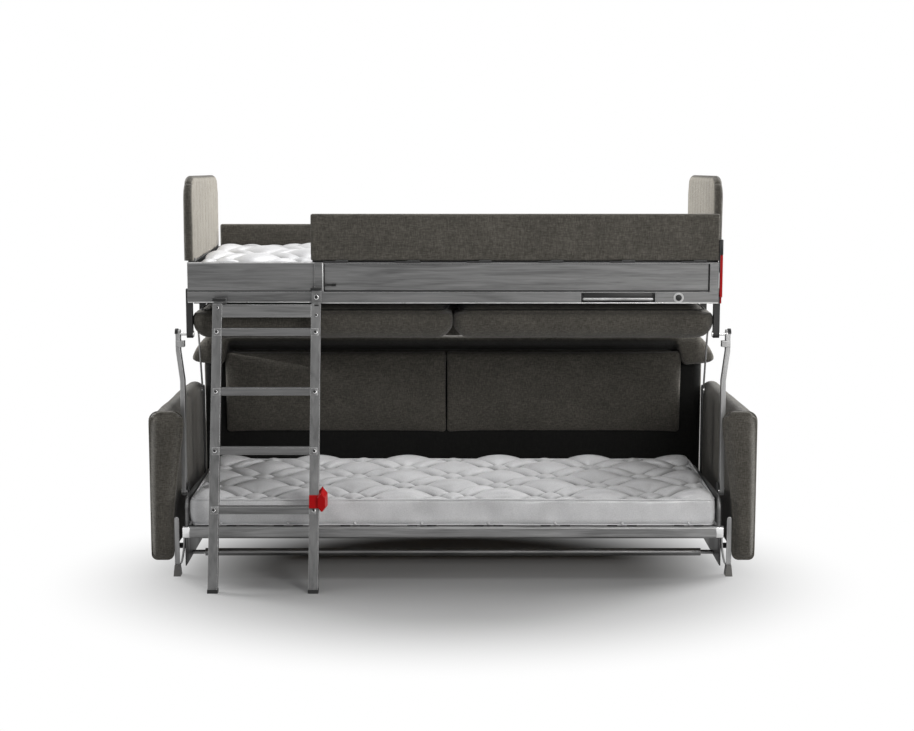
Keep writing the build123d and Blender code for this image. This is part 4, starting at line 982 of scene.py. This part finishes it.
class BUNK_OT_arms(PieceOperator, bpy.types.Operator):
    """Arms with their padded fronts, which widen towards their foot"""
    bl_idname = "bunk.arms"
    bl_label = "Arms"
    heights = (0.060, 0.215, 0.300, 0.440, 0.520, 0.560, 0.610)
    inner_edge = (1.0084, 1.0075, 0.999, 0.981, 0.968, 0.965, 0.965)
    fall = 0.026
    pad_corner = 0.045
    piping_corner = 0.034
    piping_inset = 0.002
    piping_back = 0.035

    def execute(self, context):
        settings = context.scene.bunk_soft
        for side, sign in SIDES:
            self.arm(side)
            self.pad(side, sign, settings)
        return {"FINISHED"}

    def arm(self, side):
        node = f"arm_{side}"
        low, high = node_box(node)
        low[1] -= 0.03
        obj, p, normal = soft_box(node + "_soft", low, high, 0.012, (0.040, 0.012, 0.038))
        behind = share(p[:, 1], low[1], high[1])
        p[:, 2] -= self.fall * behind * share(p[:, 2], low[2], high[2])
        height = 0.003 * noise(p, (4, 3, 4), 41) + 0.0012 * noise(p, (14, 8, 14), 43)
        raised(obj, p, normal, np.minimum(height, 0.002))
        soft_piece(obj, "stand", (node,))

    def narrowed(self, x, z, sign, outer):
        """Brings the inner edge of a pad to its line. Also says how far x lies from outside."""
        span = outer - min(self.inner_edge)
        from_outer = outer - np.abs(x)
        inner = np.interp(z, self.heights, self.inner_edge)
        return sign * (outer - from_outer * (outer - inner) / span), from_outer / span

    def pad(self, side, sign, settings):
        node = f"arm_pad_{side}"
        low, high = node_box(node)
        obj, p, normal = soft_box(f"arm_front_{side}", low, high, 0.007, (0.036, 0.033, 0.022))
        round_top(p, low, high, self.pad_corner, 0)
        outer = high[0] if sign > 0 else -low[0]
        p[:, 0], width = self.narrowed(p[:, 0], p[:, 2], sign, outer)
        across = np.clip(np.abs(width - 0.5) * 2, 0, 1)
        rise = share(p[:, 2], low[2], high[2])
        dome = (1 - across ** 2.2) * np.clip(1 - (2 * rise - 1) ** 8, 0, 1)
        face = smooth_step(-normal[:, 1], 0.2, 0.9)
        p[:, 1] -= face * (0.028 * dome - 0.018)
        raised(obj, p, normal, -0.0015 * (1 - noise(p, (8, 8, 6), 45)) * face)
        soft_piece(obj, "stand", (node,))
        inset = self.piping_inset
        loop = np.array(rounded_loop(low[0] + inset, high[0] - inset, low[2] + inset,
                                     high[2] - inset, self.piping_corner, 0.012))
        xs = self.narrowed(loop[:, 0], loop[:, 1], sign, outer)[0]
        path = [(x, low[1] + self.piping_back, z) for x, z in zip(xs, loop[:, 1])]
        trim_piece(tube(f"arm_piping_{side}", path, settings.piping * 0.8), "stand")


class BUNK_OT_guards(PieceOperator, bpy.types.Operator):
    """Padded guards in front of and behind the bunk"""
    bl_idname = "bunk.guards"
    bl_label = "Guards"
    rows = (("front_guard_soft", "guard_panel", "front_guard", (0.006, 0.008, 0.007)),
            ("rear_guard_soft", "rear_guard", "bunk", (0.008, 0.007, 0.008)))

    def execute(self, context):
        for name, node, body, radius in self.rows:
            low, high = node_box(node)
            obj, p, normal = soft_box(name, low, high, 0.008, radius)
            across = spread(p, low, high)[2]
            face = smooth_step(np.abs(normal[:, 1]), 0.2, 0.9)
            crown = crowned(across, {0: 12, 2: 4})
            height = face * (0.0022 * crown + 0.0014 * noise(p, (5, 5, 9), 51) - 0.0014)
            height += face * 0.0012 * noise(p, (22, 5, 7), 53) * bump_at(across[:, 2], 1, 0.25)
            height = np.where(normal[:, 1] < 0, np.minimum(height, -0.0006), height)
            raised(obj, p, normal, height)
            soft_piece(obj, body, (node,), "guard_cloth")
        return {"FINISHED"}


class BUNK_OT_headboards(PieceOperator, bpy.types.Operator):
    """Padded headboards with upright channels, painted paler inside as painted light"""
    bl_idname = "bunk.headboards"
    bl_label = "Headboards"
    inner, outer = 0.9295, 0.9672
    corner = 0.085
    channel = 0.075
    fall = 0.026
    foot_gap = 0.005
    overhang = 0.006

    def execute(self, context):
        for side, sign in SIDES:
            node = f"headboard_{side}"
            low, high = node_box(node)
            low[0], high[0] = sorted((sign * self.inner, sign * self.outer))
            high[1] += self.overhang
            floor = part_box("bunk_front_rail")[1][2] + self.foot_gap
            low[2] = floor - self.corner
            obj, p, normal = soft_box(node + "_soft", low, high, 0.0075, (0.0175, 0.016, 0.018))
            round_top(p, low, high, self.corner, 1)
            across = spread(p, low, high)[2]
            face = smooth_step(np.abs(normal[:, 0]), 0.2, 0.9)
            crown = crowned(across, {1: 8, 2: 8})
            behind = share(p[:, 1], low[1], high[1])
            p[:, 2] -= self.fall * share(p[:, 2], floor, high[2]) * behind
            rib = np.abs(np.cos(math.pi * (p[:, 1] - low[1]) / self.channel)) ** 0.5
            height = 0.0015 * crown + 0.0012 * noise(p, (5, 5, 5), 61) + 0.0028 * rib - 0.0050
            raised(obj, p, normal, face * height)
            # Painted light: marks the inner faces, which the headboard cloth paints paler.
            mark(obj, "inner", smooth_step(-normal[:, 0] * sign, 0.60, 0.98))
            self.cut_foot(obj, floor)
            soft_piece(obj, f"{side}_headboard", (node,), finish="headboard_cloth")
        return {"FINISHED"}

    def cut_foot(self, obj, floor):
        """Takes off what lies below a level and closes the cut."""
        bm = bmesh.new()
        bm.from_mesh(obj.data)
        cut = cut_level(bm, floor, clear_inner=True)
        rim = [e for e in cut if isinstance(e, bmesh.types.BMEdge)]
        bmesh.ops.holes_fill(bm, edges=rim, sides=0)
        bm.to_mesh(obj.data)
        bm.free()


class BUNK_OT_rail_trim(PieceOperator, bpy.types.Operator):
    """Strips of painted shadow, lines of painted highlight, the pull handle and the rosette's bore
    painted dark as shade, on the upper rail
    """
    bl_idname = "bunk.rail_trim"
    bl_label = "Rail trim"
    groove = (1.0258, 1.0296)
    strip = 0.0042
    post = 0.032
    proud = 0.0006
    end_width = 0.028
    slot_levels = (0.996, 1.0230)
    grip_levels = (0.994, 1.0052)
    sleeve_height = 0.053

    def execute(self, context):
        rail_low, rail_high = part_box("bunk_front_rail")
        frame_low, frame_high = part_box("guard_frame")
        plate, top = rail_low[1] + 0.006, rail_high[2]
        start, left, right = frame_low[0], frame_low[0] + self.post, frame_high[0] - self.post
        low, high = self.groove
        face = (plate - 0.0010, plate + 0.002)
        hinge_low, hinge_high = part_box("guard_panel")
        strips = (
            ((rail_low[0] + 0.001, start), (plate - 0.0008, plate + 0.002), (low, high)),
            ((left, right), face, (low, high + 0.001)),
            ((left, left + self.strip), face, (high, top)),
            ((right - self.strip, right), face, (high, top)),
            ((start, right), (plate - 0.0010, plate + 0.004), (top - 0.0002, top + 0.003)),
            ((hinge_low[0] + 0.004, hinge_high[0]), (plate + 0.0150, plate + 0.0165),
             (top, hinge_low[2] + 0.004)),
        )
        trim_piece(bars("rail_strips", strips, 0.0003), "bunk", "board", "black_plastic")
        frame_face = (frame_low[1] - self.proud, frame_low[1] + 0.002)
        # Thin bright steel lines along the rail's edges are painted highlights.
        highlight_lines = (
            ((rail_low[0] + 0.001, right), (plate - 0.0012, plate + 0.002),
             (top - 0.0036, top - 0.0003)),
            ((rail_low[0] + 0.001, start), (rail_low[1] - self.proud, rail_low[1] + 0.002),
             (rail_low[2] + 0.0004, rail_low[2] + 0.0034)),
            ((left - 0.0040, left - 0.0006), frame_face, (high, top)),
            ((start + 0.001, frame_high[0]), frame_face,
             (frame_low[2] + 0.0006, frame_low[2] + 0.0036)),
        )
        trim_piece(bars("rail_highlights", highlight_lines, 0.0006), "bunk", "brushed_bright")
        low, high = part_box("lower_front_rail")
        ends = [(sorted((sign * (high[0] + self.proud), sign * (high[0] - self.end_width))),
                 (low[1] - 0.0010, low[1] + 0.012), (low[2] + 0.003, high[2] - 0.003))
                for sign in (-1, 1)]
        trim_piece(bars("lower_rail_ends", ends, 0.0035), "lower_bed", "bright_steel")
        low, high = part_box("lock_rosette")
        centre = ((low[0] + high[0]) / 2, low[1] + 0.0010, (low[2] + high[2]) / 2)
        # Painted shade: a black disc stands for the dark inside of the rosette's bore.
        bore_shade = disc("rosette_bore_shade", centre, (0, -1, 0), 0.0115, 0.0012)
        trim_piece(bore_shade, "bunk", "black_plastic")
        self.handle()
        low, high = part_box("release_lever")
        foot = high[2] - self.sleeve_height
        sleeve = slab("release_sleeve", (low[0] - 0.0006, low[1] - 0.0010, foot),
                      (high[0] + 0.0006, high[1] + 0.0010, high[2] + 0.0008), 0.0012)
        trim_piece(sleeve, "release", "black_plastic")
        return {"FINISHED"}

    def handle(self):
        """Pull handle: a round grip in front of a dark slot, which is a black slab of painted
        shade.
        """
        low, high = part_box("pull_handle")
        foot, top = self.slot_levels
        slot = slab("handle_recess_shade", (low[0] + 0.004, high[1] - 0.003, foot),
                    (high[0] - 0.004, high[1], top), 0.001)
        trim_piece(slot, "bunk", "black_plastic")
        foot, top = self.grip_levels
        grip, p = soft_box("pull_grip", (low[0], low[1] + 0.001, foot),
                           (high[0], high[1] - 0.002, top), 0.003, (0.0085, 0.005, 0.0050))[:2]
        put(grip, p)
        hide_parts("pull_handle")
        trim_piece(grip, "bunk", "brushed_bright", "light_steel")


class BUNK_OT_ladder_fittings(PieceOperator, bpy.types.Operator):
    """Rung ends, screws, hook caps and the red lock of the ladder"""
    bl_idname = "bunk.ladder_fittings"
    bl_label = "Ladder fittings"
    rungs = (0.2785, 0.4795, 0.6825, 0.8885)
    rung_height = 0.027
    tab_reach = (0.017, 0.0105)
    hook_screws = ((-0.838, 0.972, 0.0045), (-0.487, 1.0104, 0.0085), (-0.487, 0.9462, 0.0055))
    head = (0.0064, 0.0020)
    socket = (0.0053, 0.0008)
    socket_edge = 0.0002
    socket_sides = 20
    # From where to where each black cap goes across, in front of the hooks and up, and its bevel
    hook_caps = (((-0.859, -0.811), (-0.001, 0.010), (0.9965, 1.0060), 0.0012),
                 ((-0.508, -0.470), (-0.001, 0.010), (1.0340, 1.0435), 0.0012),
                 ((-0.495, -0.479), (-0.0015, 0.001), (0.972, 0.984), 0.0006))
    lock_gap = 0.0095
    lock_width = 0.036
    # The black sockets are painted shade in the screws' holes, and shine sets them off centre so
    # that a crescent of the bright head shows as a painted highlight.
    shine = Vector((-0.0006, 0, 0.0008))

    def execute(self, context):
        tabs, heads, socket_shades = [], [], []
        lock_low, lock_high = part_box("ladder_lock")
        lock_height = (lock_low[2] + lock_high[2]) / 2
        for side, sign in SIDES:
            node = f"ladder_stile_{side}"
            plane = front_plane(node)
            low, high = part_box(node)
            middle = (low[0] + high[0]) / 2
            normal = plane[1]
            turn = normal.to_track_quat("Z", "Y").to_matrix().to_4x4()
            for z in self.rungs:
                inner, outer = -sign * self.tab_reach[0], sign * self.tab_reach[1]
                if side == "right" and abs(z - lock_height) < 0.06:
                    outer = max(0.003, min(outer, lock_low[0] - self.lock_gap - middle))
                place = on_plane(plane, middle, z)
                start, end = sorted((inner, outer))
                matrix = Matrix.Translation(place) @ turn
                if matrix.to_3x3().col[0].x < 0:
                    start, end = -end, -start
                tabs.append(slab("tab", (start, -self.rung_height / 2, -0.0005),
                                 (end, self.rung_height / 2, 0.0012), 0.0006, matrix))
                heads.append(disc("head", place + normal * 0.0010, normal, *self.head))
                socket_shades.append(disc("socket", place + normal * 0.0026 + self.shine, normal,
                                    *self.socket, self.socket_edge, self.socket_sides))
        hooks = frame["nodes"]["ladder_hooks"].data
        face = min(v.co.y for v in hooks.vertices if v.co.z > 0.955)
        for x, z, radius in self.hook_screws:
            on_hook = z > low[2] + 0.99
            place = Vector((x, face, z)) if on_hook else on_plane(plane, x, z, 0.0045)
            heads.append(disc("head", place, (0, -1, 0), radius, 0.0016))
            socket_shades.append(disc("socket", place + Vector((0, -0.0012, 0)) + self.shine,
                                (0, -1, 0), radius * 0.78, 0.0009, self.socket_edge,
                                self.socket_sides))
        trim_piece(joined("ladder_tabs", tabs), "ladder", "satin_steel")
        trim_piece(joined("ladder_screws", heads), "ladder", "bright_steel")
        trim_piece(joined("ladder_socket_shades", socket_shades), "ladder", "black_plastic")
        caps = [slab("cap", (x[0], face + y[0], z[0]), (x[1], face + y[1], z[1]), bevel)
                for x, y, z, bevel in self.hook_caps]
        trim_piece(joined("hook_caps", caps), "ladder", "black_plastic")
        self.lock(Vector(lock_low), Vector(lock_high))
        return {"FINISHED"}

    def lock(self, low, high):
        """Six-sided wing of the lock, which fills its solid's height."""
        size = high.z - low.z
        lock = disc("ladder_lock_knob", (0, 0, 0), (0, -1, 0), size / 2, high.y - low.y + 0.004,
                    0.002, 6, 0.72)
        p = places(lock)
        p[:, 0] *= self.lock_width / np.ptp(p[:, 0])
        p[:, 2] *= size / np.ptp(p[:, 2])
        put(lock, p + np.array([(low.x + high.x) / 2 - 0.001, high.y, (low.z + high.z) / 2]))
        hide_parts("ladder_lock")
        trim_piece(lock, "lock", "red_plastic")


class BUNK_OT_stage(PieceOperator, bpy.types.Operator):
    """White floor, soft light and the camera"""
    bl_idname = "bunk.stage"
    bl_label = "Stage"
    pitch = 8.3
    distance = 6.336
    height = 1.6992
    shift = 4 / 914
    aim = (0, 0, 0.6)
    # floor_grey is the floor's colour round the sofa, darker than the white beyond it, as painted
    # shade.
    floor_grey = 0.34
    shade = (1.51, 1.22)
    shade_ahead = 0.35
    fade_from = 0.42
    sky = 0.20

    def execute(self, context):
        scene = context.scene
        settings = scene.bunk_stage
        self.floor()
        self.world(scene)
        key, fill, aim = settings.key_power, settings.fill_power, self.aim
        lights = (("Top", (0.0, 0.7, 4.2), aim, (3.0, 3.0), key * 0.42, (1, 1, 1)),
                  ("Front", (2.2, -4.6, 2.3), aim, (2.2, 2.2), fill, (1.0, 0.99, 0.975)),
                  ("Left", (-4.0, -2.5, 3.0), aim, (2.4, 2.4), fill * 0.25, (0.97, 0.985, 1.0)),
                  ("Rim_right", (4.2, 1.2, 1.9), aim, (2.0, 2.0), key * 1.20, (1, 1, 1)),
                  ("Rim_left", (-4.2, 1.2, 1.9), aim, (2.0, 2.0), key * 0.85, (1, 1, 1)),
                  ("Inner", (-0.25, 0.42, 0.66), (-0.35, -0.35, 0.28), (1.3, 0.10),
                   settings.inner_power, (1, 1, 1)))
        for name, place, target, size, power, colour in lights:
            data = bpy.data.lights.new(name, "AREA")
            data.shape = "DISK" if size[0] == size[1] else "RECTANGLE"
            data.size, data.size_y = size
            data.energy = power
            data.color = colour
            lamp = bpy.data.objects.new(name, data)
            scene.collection.objects.link(lamp)
            lamp.location = place
            way = Vector(target) - Vector(place)
            lamp.rotation_euler = way.to_track_quat("-Z", "Y").to_euler()
            if name == "Inner":
                lamp.visible_camera = lamp.visible_glossy = False
        self.camera(scene, settings)
        scene.view_settings.view_transform = "Standard"
        return {"FINISHED"}

    def white_to(self, tree):
        """Factor that is 1 for the rays that see the white background."""
        path = add_node(tree, "LightPath").outputs
        seen = math_node(tree, "MAXIMUM", path["Is Camera Ray"], path["Is Glossy Ray"])
        return math_node(tree, "MAXIMUM", seen, path["Is Transmission Ray"])

    def floor(self):
        """Pale floor that takes the sofa's shadow, grey round the sofa as painted shade, and turns
        white away from it.
        """
        bm = bmesh.new()
        bmesh.ops.create_grid(bm, x_segments=1, y_segments=1, size=30,
                              matrix=Matrix.Translation((0, 0, -0.0005)))
        floor = new_object("Floor", bm, smooth=False)
        material, tree, shader, place = node_tree("Floor")
        give(tree, shader, Base_Color=(*(self.floor_grey,) * 3, 1), Roughness=0.9,
             Specular_IOR_Level=0.0)
        wide, deep = self.shade
        spot = add_node(tree, "Mapping", Vector=place, Scale=(1 / wide, 1 / deep, 0),
                        Location=(0, self.shade_ahead / deep, 0)).outputs[0]
        away = operate(tree, "VectorMath", "LENGTH", spot).outputs["Value"]
        fade = add_node(tree, "MapRange", Value=away, From_Min=self.fade_from, From_Max=1.0)
        fade.interpolation_type = "SMOOTHSTEP"
        white = add_node(tree, "Emission", Color=(1, 1, 1, 1))
        factor = math_node(tree, "MULTIPLY", fade.outputs[0], self.white_to(tree))
        mix = self.mix_shaders(tree, factor, shader, white)
        out = next(n for n in tree.nodes if n.bl_idname == "ShaderNodeOutputMaterial")
        tree.links.new(mix, out.inputs[0])
        floor.data.materials.append(material)

    def mix_shaders(self, tree, factor, first, second):
        mix = add_node(tree, "MixShader", Fac=factor)
        for socket, node in zip(mix.inputs[1:], (first, second)):
            tree.links.new(node.outputs[0], socket)
        return mix.outputs[0]

    def world(self, scene):
        """White behind the sofa, and weaker light from all sides."""
        scene.world = bpy.data.worlds.new("World")
        scene.world.use_nodes = True
        tree = scene.world.node_tree
        tree.nodes.clear()
        light, seen = (add_node(tree, "Background", Color=(1, 1, 1, 1), Strength=strength)
                       for strength in (self.sky, 1.0))
        add_node(tree, "OutputWorld",
                 Surface=self.mix_shaders(tree, self.white_to(tree), light, seen))

    def camera(self, scene, settings):
        data = bpy.data.cameras.new("Camera")
        data.lens = settings.lens
        data.sensor_width = 36
        data.shift_x = self.shift
        camera = bpy.data.objects.new("Camera", data)
        scene.collection.objects.link(camera)
        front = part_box("lower_front_rail")[0][1]
        camera.location = (0, front - self.distance, self.height)
        camera.rotation_euler = (math.radians(90 - self.pitch), 0, 0)
        scene.camera = camera


class BUNK_PT_panel(bpy.types.Panel):
    """Steps and settings of the bunk sofa"""
    bl_idname = "BUNK_PT_panel"
    bl_label = "Bunk sofa"
    bl_space_type = "VIEW_3D"
    bl_region_type = "UI"
    bl_category = "Bunk Sofa"

    def draw(self, context):
        for step in STEPS:
            self.layout.operator(step.bl_idname)
        scene = context.scene
        for settings in (scene.bunk_finish, scene.bunk_soft, scene.bunk_stage):
            box = self.layout.box()
            for key in settings.__annotations__:
                box.prop(settings, key)


STEPS = (BUNK_OT_finishes, BUNK_OT_mattresses, BUNK_OT_seat_cushions, BUNK_OT_back_cushions,
         BUNK_OT_back, BUNK_OT_arms, BUNK_OT_guards, BUNK_OT_headboards, BUNK_OT_rail_trim,
         BUNK_OT_ladder_fittings, BUNK_OT_stage)
CLASSES = (FinishSettings, SoftSettings, StageSettings, *STEPS, BUNK_PT_panel)


def register():
    for cls in CLASSES:
        bpy.utils.register_class(cls)
    bpy.types.Scene.bunk_finish = PointerProperty(type=FinishSettings)
    bpy.types.Scene.bunk_soft = PointerProperty(type=SoftSettings)
    bpy.types.Scene.bunk_stage = PointerProperty(type=StageSettings)


def unregister():
    del bpy.types.Scene.bunk_stage
    del bpy.types.Scene.bunk_soft
    del bpy.types.Scene.bunk_finish
    for cls in reversed(CLASSES):
        bpy.utils.unregister_class(cls)


def main():
    register()
    bpy.ops.bunk.finishes()
    bpy.ops.bunk.mattresses()
    bpy.ops.bunk.seat_cushions()
    bpy.ops.bunk.back_cushions()
    bpy.ops.bunk.back()
    bpy.ops.bunk.arms()
    bpy.ops.bunk.guards()
    bpy.ops.bunk.headboards()
    bpy.ops.bunk.rail_trim()
    bpy.ops.bunk.ladder_fittings()
    bpy.ops.bunk.stage()


if __name__ == "__main__":
    main()
